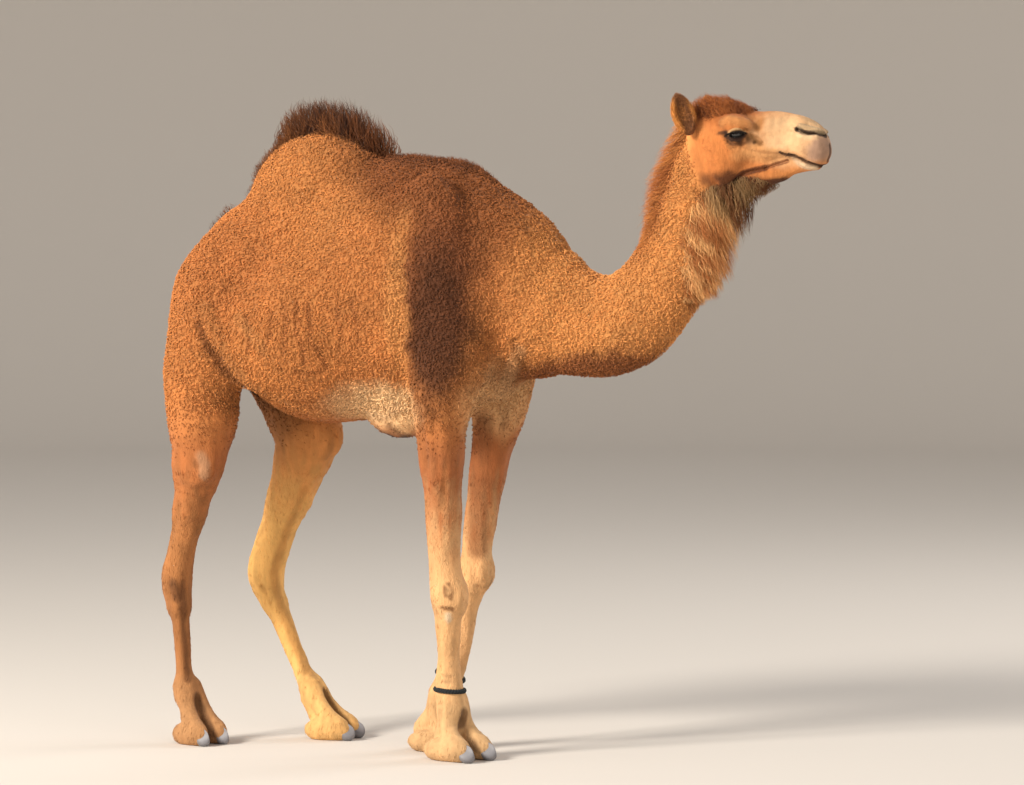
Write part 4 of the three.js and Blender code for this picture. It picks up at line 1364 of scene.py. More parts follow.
@dataclass(frozen=True)
class Finish:
    """A material of one kind all over."""

    name: str
    colour: str
    roughness: float = 0.8
    ior: float = 1.5
    sheen: float = 0.0
    coat: float = 0.0  # a clear wet film over it
    specular: float = 0.5

    def shader(self) -> tuple[bpy.types.Material, bpy.types.NodeTree, bpy.types.Node]:
        """Makes a new material with its shader set.

        Returns:
            The material, its nodes and the shader.
        """
        material = bpy.data.materials.new(self.name)
        material.use_nodes = True
        tree = material.node_tree
        tree.nodes.clear()
        rgb = tuple(linear(self.colour)) + (1.0,)
        shader = add_node(tree, "ShaderNodeBsdfPrincipled", Base_Color=rgb, Roughness=self.roughness,
                          IOR=self.ior, Specular_IOR_Level=self.specular, Sheen_Weight=self.sheen,
                          Sheen_Roughness=0.5, Coat_Weight=self.coat, Coat_Roughness=0.03)
        add_node(tree, "ShaderNodeOutputMaterial", Surface=shader.outputs["BSDF"])
        return material, tree, shader

    def make(self) -> bpy.types.Material:
        """The material."""
        return self.shader()[0]


@dataclass(frozen=True)
class HairFinish(Finish):
    """Hair, whose colour is painted on the mesh; with a hair size it has raised hairs and lumps of wool."""

    hair_size: float = 0.0  # m: real hairs are 0.1 mm thick, so these are small bunches, which show
    hair_depth: float = 0.004
    lump_size: float = 0.013  # m: a curl of wool
    lump_depth: float = 0.012

    def make(self) -> bpy.types.Material:
        """Makes the material, with bumps where it has a hair size.

        Returns:
            The material.
        """
        material, tree, shader = self.shader()
        paint = add_node(tree, "ShaderNodeAttribute", {"attribute_name": "coat_colour"})
        tree.links.new(paint.outputs["Color"], shader.inputs["Base Color"])
        if self.hair_size:
            place = add_node(tree, "ShaderNodeTexCoord")
            stretch = add_node(tree, "ShaderNodeMapping", Vector=place.outputs["Object"],
                               Scale=(1.0, 1.0, 0.35))
            hairs = add_node(tree, "ShaderNodeTexNoise", Vector=stretch.outputs["Vector"],
                             Scale=1 / self.hair_size, Detail=4.0, Roughness=0.65)
            lumps = add_node(tree, "ShaderNodeTexNoise", Vector=place.outputs["Object"],
                             Scale=1 / self.lump_size, Detail=2.0, Roughness=0.5)
            wool = add_node(tree, "ShaderNodeAttribute", {"attribute_name": "wool_depth"})
            depth = add_node(tree, "ShaderNodeMath", {"operation": "MULTIPLY"}, wool.outputs["Fac"],
                             self.lump_depth)
            raised = add_node(tree, "ShaderNodeMath", {"operation": "MULTIPLY"}, lumps.outputs[0],
                              depth.outputs[0])
            total = add_node(tree, "ShaderNodeMath", {"operation": "MULTIPLY_ADD"}, hairs.outputs[0],
                             self.hair_depth, raised.outputs[0])
            bump = add_node(tree, "ShaderNodeBump", Height=total.outputs[0], Strength=1.0, Distance=1.0)
            tree.links.new(bump.outputs["Normal"], shader.inputs["Normal"])
        return material


@dataclass(frozen=True)
class RopeFinish(Finish):
    """Twisted cord, with slanting ridges of fibre on its strands."""

    ridge: float = 0.00403  # m from ridge to ridge: real yarns are finer and wouldn't show

    def make(self) -> bpy.types.Material:
        """Makes the material with its ridges of fibre.

        Returns:
            The material.
        """
        material, tree, shader = self.shader()
        place = add_node(tree, "ShaderNodeTexCoord")
        # at a scale of 1 the diagonal bands are 2 pi / (10 root 3) apart
        fibres = add_node(tree, "ShaderNodeTexWave", {"bands_direction": "DIAGONAL"},
                          Vector=place.outputs["Object"], Distortion=1.5,
                          Scale=2 * math.pi / (10 * math.sqrt(3) * self.ridge))
        bump = add_node(tree, "ShaderNodeBump", Height=fibres.outputs["Fac"], Strength=0.6, Distance=0.002)
        tree.links.new(bump.outputs["Normal"], shader.inputs["Normal"])
        return material


class Shade(Enum):
    """The finishes, each named for what the real one is and how its surface came about."""

    # short hair that lies flat over skin: dull and finely grained along the hair, with soft lumps and no
    # highlight where wool grows over it, so that gaps in the coat read as more wool
    SKIN = HairFinish("short_hair_over_skin", "#b2703c", 0.85, 1.45, 0.05, specular=0.25, hair_size=0.008)
    # curly wool, dry and dusty: almost no gloss, so the eye gets its depth from the shade between locks
    COAT = HairFinish("wool_locks", "#b2703c", 0.8, 1.5, 0.03, specular=0.2)
    # a wet cornea over a brown iris and a wide pupil: nearly black, with one small sharp highlight
    EYE = Finish("wet_cornea", "#0d0705", 0.08, 1.38, coat=1.0)
    # horn worn by sand: grey and half dull, with a broad soft highlight along the nail
    NAIL = Finish("weathered_horn", "#78767a", 0.55, 1.54)
    # polypropylene cord laid up from three strands and weathered: nearly black, dull and ridged aslant
    ROPE = RopeFinish("twisted_cord", "#1d2327", 0.85)
    # smooth unpainted plaster: a pale ground with no gloss, so that only the shadow draws the eye
    FLOOR = Finish("plaster_floor", "#d3ccc4", 0.9)


# ---------------------------------------------------------------- eyes, ears, nails and bands


def sphere(name: str, at: Sequence[float], radii: Sequence[float], tilt: float = 0, turn: float = 0,
           pinch: float = 0) -> bpy.types.Object:
    """Makes a smooth ellipsoid in the drawing frame.

    Args:
        name: the piece's name.
        at: its middle, mm.
        radii: half its sizes, mm.
        tilt: how far its front is turned down, degrees.
        turn: how far it is then turned about Z, degrees.
        pinch: how much narrower its top is.

    Returns:
        The piece.
    """
    around, rings = 40, 23
    u = np.linspace(0, math.pi, rings + 2)[1:-1]
    v = np.linspace(0, 2 * math.pi, around, endpoint=False)
    ring = np.stack([np.outer(np.sin(u), np.cos(v)), np.outer(np.sin(u), np.sin(v)),
                     np.outer(np.cos(u), np.ones(around))], axis=-1).reshape(-1, 3)
    p = np.vstack([ring, [0, 0, 1], [0, 0, -1]])
    p[:, 1] *= 1 - pinch * np.clip(p[:, 2] + 0.25, 0, 1)
    p = p * np.array(radii) @ spin(1, tilt).T @ spin(2, turn).T
    top, last = len(ring), len(ring) - around
    faces = wrapped(rings, around, flip=True)
    faces += [(top, j, (j + 1) % around) for j in range(around)]
    faces += [(top + 1, last + (j + 1) % around, last + j) for j in range(around)]
    return mesh_object(name, p + np.array(at), faces)


def painted(made: bpy.types.Object, colour: np.ndarray, material: bpy.types.Material) -> None:
    """Paints a piece of flesh, marks how woolly it is and gives it a finish.

    Args:
        made: the piece.
        colour: a linear colour for each vertex.
        material: the finish.
    """
    paint(made.data, colour)
    wool = made.data.attributes.new("wool_depth", "FLOAT", "POINT")
    wool.data.foreach_set("value", woolly(points_of(made.data)).astype(np.float32))
    made.data.materials.append(material)


@dataclass
class Ear:
    """One ear: a small cup that opens outwards, with its sizes along its own axes, mm."""

    side: Side
    finish: bpy.types.Material
    left_at: Vec = (1318, 94, 1926)
    outer: Vec = (17, 33, 63)
    hollow: Vec = (15, 25, 55)
    hollow_at: Vec = (13, 0, 2)
    room: float = 75.0  # how far the net reaches from its middle
    cell: float = 2.5
    tries: int = 4200  # hairs that are tried
    spacing: float = 2.7
    tan: str = "#cc8642"
    shade: str = "#7a4c2b"

    @property
    def at(self) -> np.ndarray:
        """Its middle."""
        return np.array(self.left_at) * (1, self.side, 1)

    def build(self) -> bpy.types.Object:
        """Meshes the cup from two ellipsoids.

        Returns:
            The ear's flesh.
        """
        axes = self.axes()

        def cup(room: Room) -> np.ndarray:
            """The shell between the two, narrower to its tip.

            Args:
                room: the points.

            Returns:
                Its field at each point.
            """
            d = (np.stack([room.x, room.y, room.z], axis=1) - self.at) @ axes.T
            taper = 1.0 - 0.25 * np.clip(d[:, 2] / self.outer[2], -1, 1) ** 2
            wide = np.stack([d[:, 0], d[:, 1] / taper, d[:, 2]], axis=1)
            inward = wide - np.array(self.hollow_at)
            outer = (np.linalg.norm(wide / np.array(self.outer), axis=1) - 1) * 22
            inner = (np.linalg.norm(inward / np.array(self.hollow), axis=1) - 1) * 16
            return np.maximum(outer, -inner)

        points, faces = SkinNet(cup, self.at - self.room, self.at + self.room, self.cell, 4).mesh()
        made = mesh_object(f"ear_{self.side.word}_flesh", points, faces)
        painted(made, self.colour(points), self.finish)
        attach(made, "root")
        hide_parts(f"ear_{self.side.word}")
        return made

    def colour(self, p: np.ndarray) -> np.ndarray:
        """Tan outside and on the rim, and dark in the hollow as painted shade.

        Args:
            p: points of the ear, mm.

        Returns:
            A linear colour for each point.
        """
        d = (p - self.at) @ self.axes().T
        return mix(linear(self.tan), linear(self.shade),
                   ramp(d[:, 0], -9, 2) * ramp(np.abs(d[:, 1] + 5 * self.side), 27, 12))

    def fuzz(self, made: bpy.types.Object, coat: Coat, rng: np.random.Generator) -> list[bpy.types.Object]:
        """Covers the ear with short hair that points to its tip.

        Args:
            made: the ear's flesh.
            coat: what makes tufts.
            rng: source of chance.

        Returns:
            The pieces of hair.
        """
        roots = Bed(made, rng).sow(self.tries, lambda p: np.ones(len(p)), self.spacing)
        count = len(roots.p)
        ones = np.ones(count)
        toward = unit(lie(roots, self.axes()[2], 0.35, rng) + 0.35 * roots.n)
        length = rng.uniform(6, 13, count)
        colour = self.colour(roots.p) * rng.uniform(0.7, 1.25, count)[:, None]
        growth = Growth(roots, toward, length, width=ones * 1.3, thick=ones * 0.6, lift=ones, curl=ones,
                        turn=ones * 2.5, droop=ones * 0, colour=colour, rings=2, pull=0.4, clump=8)
        return coat.grow(f"ear_{self.side.word}_hair", growth, "face_hair")

    def axes(self) -> np.ndarray:
        """The ear's own X (out of the cup), Y (across it) and Z (to its tip) as rows."""
        return (spin(1, -18) @ spin(0, -self.side * 8) @ spin(2, self.side * 60)).T


@dataclass(frozen=True)
class LidRow:
    """A ring of points of the lids."""

    share: float  # where it lies: 0 at the eye's slit, 1 on the skin
    radius: float  # of the ball that it lies on, mm
    dark: float = 0.0  # its share of the lash line's colour
    coat: float = 0.0  # its share of the coat's colour


LID_ROWS = [
    LidRow(0, 20.6, dark=1), LidRow(0, 21.8, dark=1), LidRow(0.08, 23.0, dark=1), LidRow(0.2, 23.8, dark=0.8),
    LidRow(0.34, 23.6, dark=0.3), LidRow(0.5, 24.4, coat=0.1), LidRow(0.68, 22.5, coat=0.5),
    LidRow(0.85, 18.0, coat=1), LidRow(1.0, 12.0, coat=1),
]


@dataclass
class Eye:
    """One eye: a wet dark ball with lids round it and lashes on them, mm."""

    side: Side
    ball: bpy.types.Material
    lid: bpy.types.Material
    markings: Markings
    slit: float = 18.5  # half the length of the slit
    above: float = 4.5  # how far it opens above its middle
    below: float = 8.0
    lids_to: tuple[float, float] = (31, 27)
    around: int = 72
    lash_root: float = 22.4  # the ball's radius where lashes start
    lash_count: int = 300
    lash_line: str = "#120b08"
    upper_lid: str = "#b58c5e"
    lower_lid: str = "#35221a"

    @property
    def at(self) -> np.ndarray:
        """Its middle."""
        return np.array(EYE_AT) * (1, self.side, 1)

    def build(self) -> list[bpy.types.Object]:
        """Makes the ball and its lids.

        Returns:
            Both pieces.
        """
        ball = sphere(f"eyeball_{self.side.word}", self.at, (EYE_RADIUS,) * 3)
        ball.data.materials.append(self.ball)
        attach(ball, "root")
        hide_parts(f"eye_{self.side.word}")
        lids = self.lids()
        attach(lids, "root")
        return [ball, lids]

    def frame_axes(self) -> np.ndarray:
        """The directions of the lids.

        Returns:
            Forwards along them, up across them, and out of the eye, as rows.
        """
        out = unit(np.array([0.30, self.side * 1.0, -0.02]))
        ahead = np.array([1.0, 0, 0.10])
        ahead = unit(ahead - (ahead @ out) * out)
        up = np.cross(out, ahead)
        return np.stack([ahead, up if up[2] > 0 else -up, out])

    def along_slit(self, cosine: np.ndarray) -> np.ndarray:
        """How far along the slit points of its edge are, pointed towards both ends."""
        return self.slit * np.sign(cosine) * np.abs(cosine) ** 0.8

    def lids(self) -> bpy.types.Object:
        """Makes the lids: rings of points from the eye's slit out to the skin.

        Returns:
            The lids.
        """
        turns = np.linspace(0, 2 * math.pi, self.around, endpoint=False)
        c, s = np.cos(turns), np.sin(turns)
        slit = np.stack([self.along_slit(c), np.where(s > 0, self.above, self.below) * s], axis=1)
        wide = np.stack([c, s], axis=1) * self.lids_to
        rows = []
        for row in LID_ROWS:
            q = slit * (1 - row.share) + wide * row.share
            away = np.hypot(q[:, 0], q[:, 1])
            inside = np.minimum(away, row.radius * 0.97)
            depth = np.sqrt(row.radius**2 - inside**2)
            if row.share > 0.8:  # the last rows sink into the skin
                depth = np.full(self.around, row.radius * 0.2)
            if row.share < 0.6:  # the first ones stay on the ball
                q = q * (inside / away)[:, None]
            rows.append(np.column_stack([q, depth]))
        points = self.at + np.concatenate(rows) @ self.frame_axes()
        made = mesh_object(f"eyelids_{self.side.word}", points, wrapped(len(rows), self.around))
        lower = np.tile(ramp(-s, -0.15, 0.35), len(rows))
        colour = mix(linear(self.upper_lid), linear(self.lower_lid), lower)
        colour = mix(colour, self.markings(points), np.repeat([row.coat for row in LID_ROWS], self.around))
        colour = mix(colour, linear(self.lash_line), np.repeat([row.dark for row in LID_ROWS], self.around))
        painted(made, colour, self.lid)
        return made

    def lashes(self, coat: Coat, rng: np.random.Generator) -> list[bpy.types.Object]:
        """Long dark lashes along the upper lid, and short ones below.

        Args:
            coat: what makes tufts.
            rng: source of chance.

        Returns:
            The pieces of lashes.
        """
        ahead, up, out = self.frame_axes()
        count = self.lash_count
        a = rng.uniform(0.02, 0.98, count) * math.pi
        below = rng.random(count) < 0.25
        x = self.along_slit(np.cos(a))
        y = np.where(below, 0.5 - self.below, self.above) * np.sin(a)
        z = np.sqrt(np.maximum(self.lash_root**2 - x * x - y * y, 0))
        p = self.at + x[:, None] * ahead + y[:, None] * up + z[:, None] * out
        rise = np.where(below, -0.7, -0.1) + rng.normal(0, 0.12, count)
        along = unit(out * 0.8 + ahead * (x / 17)[:, None] * 0.9 + up * rise[:, None])
        length = np.where(below, 9, 24) * rng.uniform(0.7, 1.1, count)
        ones = np.ones(count)
        growth = Growth(Roots(p, np.broadcast_to(up, p.shape).copy()), along, length, width=ones * 1.1,
                        thick=ones * 0.6, lift=ones * 0.6, curl=ones * 0.8, turn=ones * 2,
                        droop=np.where(below, 0, 6.0), colour=ones[:, None] * linear("#1a110c"), rings=4,
                        tip_light=0.0)
        return coat.grow(f"lashes_{self.side.word}", growth, "dark_hair")


@dataclass
class Nails:
    """The nails at the toes' tips, mm."""

    finish: bpy.types.Material
    ahead: float = 0.53  # how far before the foot's middle, of the foot's length
    height: float = 25.0
    half_length: float = 30.0
    half_width: float = 0.6  # of half a toe's width
    half_height: float = 27.0
    tilt: float = 30.0
    pinch: float = 0.8
    lowest: float = 0.6

    def build(self) -> list[bpy.types.Object]:
        """Makes a smooth nail over each solid one.

        Returns:
            The nails.
        """
        nails = []
        for name, leg in LEGS.items():
            turn = leg.side * leg.turn
            for side in Side:
                aside = (leg.length * self.ahead, side * leg.spread / 2, 0)
                at = np.array([*leg.foot_at, self.height]) + spin(2, turn) @ aside
                place = "outer" if side == leg.side else "inner"
                radii = (self.half_length, leg.toe * self.half_width, self.half_height)
                nail = sphere(f"nail_{name}_{place}_horn", at, radii, self.tilt, turn, self.pinch)
                points = points_of(nail.data)
                points[:, 2] = np.maximum(points[:, 2], self.lowest)
                set_points(nail.data, points)
                nail.data.materials.append(self.finish)
                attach(nail, "root")
                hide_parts(f"nail_{name}_{place}")
                nails.append(nail)
        return nails


@dataclass
class Hobble:
    """A band of twisted rope round a front pastern, mm."""

    name: str
    at: Vec
    radius: float
    tilt: float
    finish: bpy.types.Material
    rope: float = 7.4  # about half the rope's thickness
    strands: int = 3
    twists: int = 11
    steps: int = 132
    sides: int = 7

    def build(self) -> bpy.types.Object:
        """Twists the strands into a ring.

        Returns:
            The band.
        """
        a = np.repeat(2 * math.pi * np.arange(self.steps) / self.steps, self.sides)
        b = np.tile(2 * math.pi * np.arange(self.sides) / self.sides, self.steps)
        off, thick = 0.45 * self.rope, 0.62 * self.rope  # a strand's middle from the rope's, and its radius
        points, faces = [], []
        for strand in range(self.strands):
            w = self.twists * a + strand * 2 * math.pi / self.strands
            r = self.radius + off * np.cos(w) + thick * np.cos(b)
            z = off * np.sin(w) + thick * np.sin(b)
            points.append(np.stack([r * np.cos(a), r * np.sin(a), z], axis=1))
            first = strand * len(a)
            faces += [[first + v for v in face] for face in wrapped(self.steps, self.sides, True, True)]
        p = np.concatenate(points) @ spin(1, self.tilt).T + np.array(self.at)
        made = mesh_object(f"{self.name}_rope", p, faces)
        made.data.materials.append(self.finish)
        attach(made, "root")
        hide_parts(self.name)
        return made


# Each band: its name, middle, radius and how far its front is turned down.
BANDS = [("hobble_right", (553, -118, 208), 43, 4), ("hobble_left", (455, 63, 228), 42, 22)]


@dataclass(frozen=True)
class Lamp:
    """A soft square light: metres, watts and linear colour."""

    name: str
    at: Vec
    size: float
    power: float
    colour: Vec

    def build(self, aim: Vec) -> None:
        """Places the light and turns it to what it lights.

        Args:
            aim: what it lights.
        """
        data = bpy.data.lights.new(self.name, "AREA")
        data.size, data.energy, data.color = self.size, self.power, self.colour
        made = placed(self.name, data)
        made.location = self.at
        made.rotation_euler = (Vector(aim) - Vector(self.at)).to_track_quat("-Z", "Y").to_euler()


LAMPS = [
    Lamp("key", (-4.3, -8.5, 6.3), 3.0, 1750, (1.0, 0.94, 0.85)),  # as from a warm sun on the camera's left
    Lamp("fill", (7.0, -6.0, 2.5), 5.0, 170, (1.0, 0.96, 0.92)),  # opens the shade on the head and breast
    Lamp("bounce", (-7.0, -5.5, 0.9), 3.0, 190, (1.0, 0.86, 0.70)),  # as from warm sand, low on the legs
    Lamp("back", (4.0, 7.0, 6.0), 4.0, 300, (1.0, 1.0, 1.0)),  # lifts the edges off the background
]


@dataclass
class Studio:
    """The floor, the lights and the camera, in metres and degrees."""

    flat: float = 17.0  # the floor's radius up to where it bends into the wall
    bend: float = 5.0
    top: float = 9.0
    sunk: float = 0.0005  # how far it lies under the soles
    aim: Vec = (0.1, 0, 1.1)
    air: Vec = (0.98, 0.95, 0.92)
    air_strength: float = 0.5
    azimuth: float = 28.0  # from the animal's right towards its front
    distance: float = 13.0
    aside: float = 0.62
    height: float = 1.62
    lens: float = 148.2
    sensor: float = 36.0
    image: tuple[int, int] = (1024, 785)
    horizon: float = 220.0  # the row of the image where the horizon is

    def build(self, floor_finish: bpy.types.Material) -> None:
        """Sets the stage.

        Args:
            floor_finish: what the floor is made of.
        """
        self.floor(floor_finish)
        world = bpy.data.worlds.new("studio")
        world.use_nodes = True
        background = world.node_tree.nodes["Background"]
        background.inputs["Color"].default_value = (*self.air, 1)
        background.inputs["Strength"].default_value = self.air_strength
        bpy.context.scene.world = world
        for lamp in LAMPS:
            lamp.build(self.aim)
        bpy.context.scene.view_settings.view_transform = "Standard"
        self.camera()

    def floor(self, finish: bpy.types.Material) -> None:
        """A round floor that bends up into a wall all round.

        Args:
            finish: what it is made of.
        """
        profile = [(0, 0), (4, 0), (10, 0), (self.flat, 0)]
        profile += [(self.flat + self.bend * math.sin(a), self.bend - self.bend * math.cos(a))
                    for a in np.linspace(0.15, math.pi / 2, 9)]
        profile.append((self.flat + self.bend, self.top))
        around = 96
        turns = [2 * math.pi * i / around for i in range(around)]
        points = [(r * math.cos(a), r * math.sin(a), z - self.sunk) for r, z in profile for a in turns]
        mesh = bpy.data.meshes.new("floor")
        mesh.from_pydata(points, [], wrapped(len(profile), around))
        mesh.polygons.foreach_set("use_smooth", [True] * len(mesh.polygons))
        floor = placed("floor", mesh)
        floor.data.materials.append(finish)

    def camera(self) -> None:
        """A long lens from the animal's right, a little from the front."""
        azimuth = math.radians(self.azimuth)
        pitch = math.atan((self.image[1] / 2 - self.horizon) / (self.lens / self.sensor * self.image[0]))
        data = bpy.data.cameras.new("camera")
        data.lens, data.sensor_width, data.sensor_fit = self.lens, self.sensor, "HORIZONTAL"
        data.clip_end = 100
        camera = placed("camera", data)
        x = math.sin(azimuth) * self.distance + math.cos(azimuth) * self.aside - OFFSET[0] / MM
        y = -math.cos(azimuth) * self.distance + math.sin(azimuth) * self.aside
        camera.location = (x, y, self.height)
        camera.rotation_euler = (math.pi / 2 - pitch, 0, azimuth)
        bpy.context.scene.camera = camera


# ---------------------------------------------------------------- where each kind of hair grows


class Bed:
    """The skin as a bed to sow roots on."""

    def __init__(self, skin: bpy.types.Object, rng: np.random.Generator) -> None:
        """Reads the skin's triangles and normals.

        Args:
            skin: a piece of skin.
            rng: source of chance.
        """
        mesh = skin.data
        mesh.calc_loop_triangles()
        self.points = points_of(mesh)
        normals = np.zeros(len(mesh.vertices) * 3)
        mesh.vertex_normals.foreach_get("vector", normals)
        self.normals = normals.reshape(-1, 3)
        tris = np.zeros(len(mesh.loop_triangles) * 3, int)
        mesh.loop_triangles.foreach_get("vertices", tris)
        self.tris = tris.reshape(-1, 3)
        a, b, c = (self.points[self.tris[:, k]] for k in range(3))
        self.area = np.linalg.norm(np.cross(b - a, c - a), axis=1) / 2
        self.middle = (a + b + c) / 3
        self.rng = rng

    def sow(self, count: int, density: Callable[[np.ndarray], np.ndarray], spacing: float) -> Roots:
        """Scatters roots.

        Args:
            count: how many are tried.
            density: how thick they are sown at points, from 0.
            spacing: at most one root is kept in each cube of this size, mm.

        Returns:
            The roots that are kept.
        """
        weight = self.area * density(self.middle)
        face = self.rng.choice(len(weight), count, p=weight / weight.sum())
        r = self.rng.random((count, 2))
        r[:, 0] = np.sqrt(r[:, 0])
        mix = np.stack([1 - r[:, 0], r[:, 0] * (1 - r[:, 1]), r[:, 0] * r[:, 1]], axis=1)[:, :, None]
        p = (self.points[self.tris[face]] * mix).sum(1)
        n = unit((self.normals[self.tris[face]] * mix).sum(1))
        _, first = np.unique(np.floor(p / spacing).astype(int), axis=0, return_index=True)
        return Roots(p[first], n[first])


def lie(roots: Roots, toward: np.ndarray, spread: float, rng: np.random.Generator) -> np.ndarray:
    """Directions along the skin: toward a vector, each turned by chance.

    Args:
        roots: where.
        toward: one vector for all, or one for each.
        spread: standard deviation of the turn, radians.
        rng: source of chance.

    Returns:
        Unit vectors that lie in the skin.
    """
    t = np.broadcast_to(toward, roots.p.shape)
    t = t + 0.25 * np.stack([noise(roots.p, 90, k) for k in (21, 22, 23)], axis=1)
    t = unit(t - (t * roots.n).sum(1, keepdims=True) * roots.n)
    b = np.cross(roots.n, t)
    a = rng.normal(0, spread, len(t))[:, None]
    return t * np.cos(a) + b * np.sin(a)


HUMP_RIDGE = [Tube([(-60, 0, 1868, 40), (-150, 0, 1806, 34), (-215, 0, 1728, 30), (-290, 0, 1668, 26),
                    (-360, 0, 1590, 18)])]
WITHERS = [Tube([(300, 0, 1822, 30), (420, 0, 1806, 28), (540, 0, 1796, 26), (640, 0, 1740, 20)])]
HUMP_TUFT = [Ellipsoid((95, 0, 1925), (165, 50, 68), 6), Ellipsoid((225, 0, 1880), (100, 45, 50), 35),
             Ellipsoid((-48, 0, 1898), (96, 42, 66), -50)]
TOPKNOT = [Ellipsoid((1378, 0, 1946), (88, 66, 46), 6), Ellipsoid((1442, 0, 1938), (60, 56, 32), 22)]
NAPE = [Ellipsoid((1182, 0, 1620), (50, 58, 120), 12), Ellipsoid((1212, 0, 1760), (62, 60, 130), 18),
        Ellipsoid((1275, 0, 1875), (52, 52, 60), 40)]
BEARD = [Ellipsoid((1366, 0, 1565), (108, 74, 190), 10), Ellipsoid((1415, 0, 1650), (82, 62, 110), 0),
         Ellipsoid((1492, 0, 1710), (66, 44, 48), -6), Ellipsoid((1345, 0, 1440), (72, 60, 90), 20)]
TAIL_TUFT = [Ellipsoid((-485, 0, 1012), (29, 26, 125)), Ellipsoid((-482, 0, 930), (20, 18, 60))]


@dataclass
class LongHair:
    """A body of long hair: it grows from the skin inside a field and ends on the field's surface."""

    name: str
    shape: Sequence[Field]
    toward: Vec
    slot: str
    nodes: tuple[str, ...]  # the solids that it stands for
    tries: int
    spacing: float
    longest: float
    shortest: float = 20.0
    width: float = 3.2
    curl: float = 5.0
    droop: float = 0.0
    spread: float = 0.25  # how far strands stray from their direction
    lean: float = 0.35  # how far they stand off the skin
    margin: float = 6.0  # roots may lie this far outside the field
    pull: float = 0.35
    clump: float = 26.0
    colours: tuple[str, str] = ("#4a2b1b", "#6d4127")
    own: float = 0.8  # the share of these colours over the coat's markings
    tip_light: float = 0.2
    ends: tuple[float, float] = (0.72, 1.06)  # where strands end, as shares of the way to the outline
    shade_from: float = 9999.0  # the height above which it is darkened, as painted shade under the jaw
    step: float = 6.0  # how finely the outline is looked for along a strand

    def grow(self, bed: Bed, coat: Coat, markings: Markings,
             rng: np.random.Generator) -> list[bpy.types.Object]:
        """Sows the roots and grows the strands out to the body's outline.

        Args:
            bed: the skin.
            coat: what makes tufts.
            markings: the colours of the coat.
            rng: source of chance.

        Returns:
            The pieces of hair.
        """
        shape = melt(30, *self.shape)
        roots = bed.sow(self.tries, lambda p: (chunked(shape, p) < self.margin) + 1e-9, self.spacing)
        roots = roots.only(chunked(shape, roots.p) < self.margin)
        count = len(roots.p)
        toward = np.array(self.toward) + rng.normal(0, self.spread, (count, 3))
        along = unit(toward + roots.n * self.lean)
        reach = np.full(count, self.shortest)
        for step in np.arange(self.shortest, self.longest, self.step):
            tip = roots.p + along * step
            tip[:, 2] -= self.droop * (step / self.longest) ** 2
            reach = np.where(chunked(shape, tip) < 0, step, reach)
        uneven = 1 + 0.3 * noise(roots.p, 42, 33)
        length = np.clip(reach, self.shortest, self.longest) * rng.uniform(*self.ends, count) * uneven
        own = mix(linear(self.colours[0]), linear(self.colours[1]), ramp(noise(roots.p, 22, 31), -0.5, 0.5))
        colour = own * self.own + markings(roots.p) * (1 - self.own)
        # painted shade: hair is darker above a given height, as under the jaw
        colour = colour * (1 - 0.6 * ramp(roots.p[:, 2], self.shade_from, self.shade_from + 35))[:, None]
        colour = colour * rng.uniform(0.75, 1.2, count)[:, None]
        width = self.width * rng.uniform(0.7, 1.3, count)
        curl = self.curl * rng.uniform(0.4, 1.4, count)
        growth = Growth(roots, along, length, width, thick=np.full(count, self.width * 0.35),
                        lift=np.full(count, 1.5), curl=curl, turn=rng.uniform(2.5, 6.0, count),
                        droop=self.droop * (length / self.longest) ** 2, colour=colour, rings=4,
                        pull=self.pull, clump=self.clump, tip_light=self.tip_light)
        return coat.grow(self.name, growth, self.slot, self.nodes)


LONG_HAIR = [
    LongHair("hump_hair", HUMP_TUFT, (-0.3, 0, 1.0), "dark_hair", ("hump_tuft",), 20000, 4.8, 130,
             spread=0.55, curl=18, width=2.6, pull=0.6, clump=40, colours=("#3d2012", "#70401f"),
             ends=(0.85, 1.4), margin=10),
    LongHair("ridge_hair", HUMP_RIDGE, (-0.5, 0, 0.6), "dark_hair", (), 9000, 4.8, 44, shortest=12,
             spread=0.6, curl=7, width=2.2, pull=0.45, clump=20, colours=("#4a2b1a", "#7a4a2b"), own=0.75),
    LongHair("withers_hair", WITHERS, (-0.6, 0, 0.4), "dark_hair", (), 7000, 4.8, 30, shortest=12, spread=0.7,
             curl=6, width=2.4, pull=0.45, clump=18, colours=("#55311c", "#7f4a29"), own=0.6),
    LongHair("topknot_hair", TOPKNOT, (-0.7, 0, 0.4), "shag", ("topknot",), 9000, 4.0, 66, shortest=16,
             width=2.0, colours=("#54260f", "#a8602c"), spread=0.7, curl=8, own=0.7, pull=0.55, clump=20,
             ends=(0.8, 1.25), margin=12),
    LongHair("nape_hair", NAPE, (-0.8, 0, -0.65), "shag", ("nape_mane",), 26000, 4.5, 130, width=1.8,
             colours=("#a05a2c", "#d08848"), spread=0.4, own=0.7, curl=9, pull=0.45, clump=24,
             ends=(0.55, 1.1)),
    LongHair("beard_hair", BEARD, (0.28, 0, -1.0), "shag", ("beard",), 32000, 4.4, 215, width=2.0,
             colours=("#a66233", "#f2bd7e"), spread=0.16, own=0.85, curl=10, droop=10, pull=0.6, clump=32,
             ends=(0.6, 1.08), shade_from=1688),
    LongHair("tail_hair", TAIL_TUFT, (0.0, 0, -1.0), "dark_hair", ("tail_tuft",), 4000, 4.5, 150,
             width=2.0, spread=0.1, margin=20, curl=5),
]


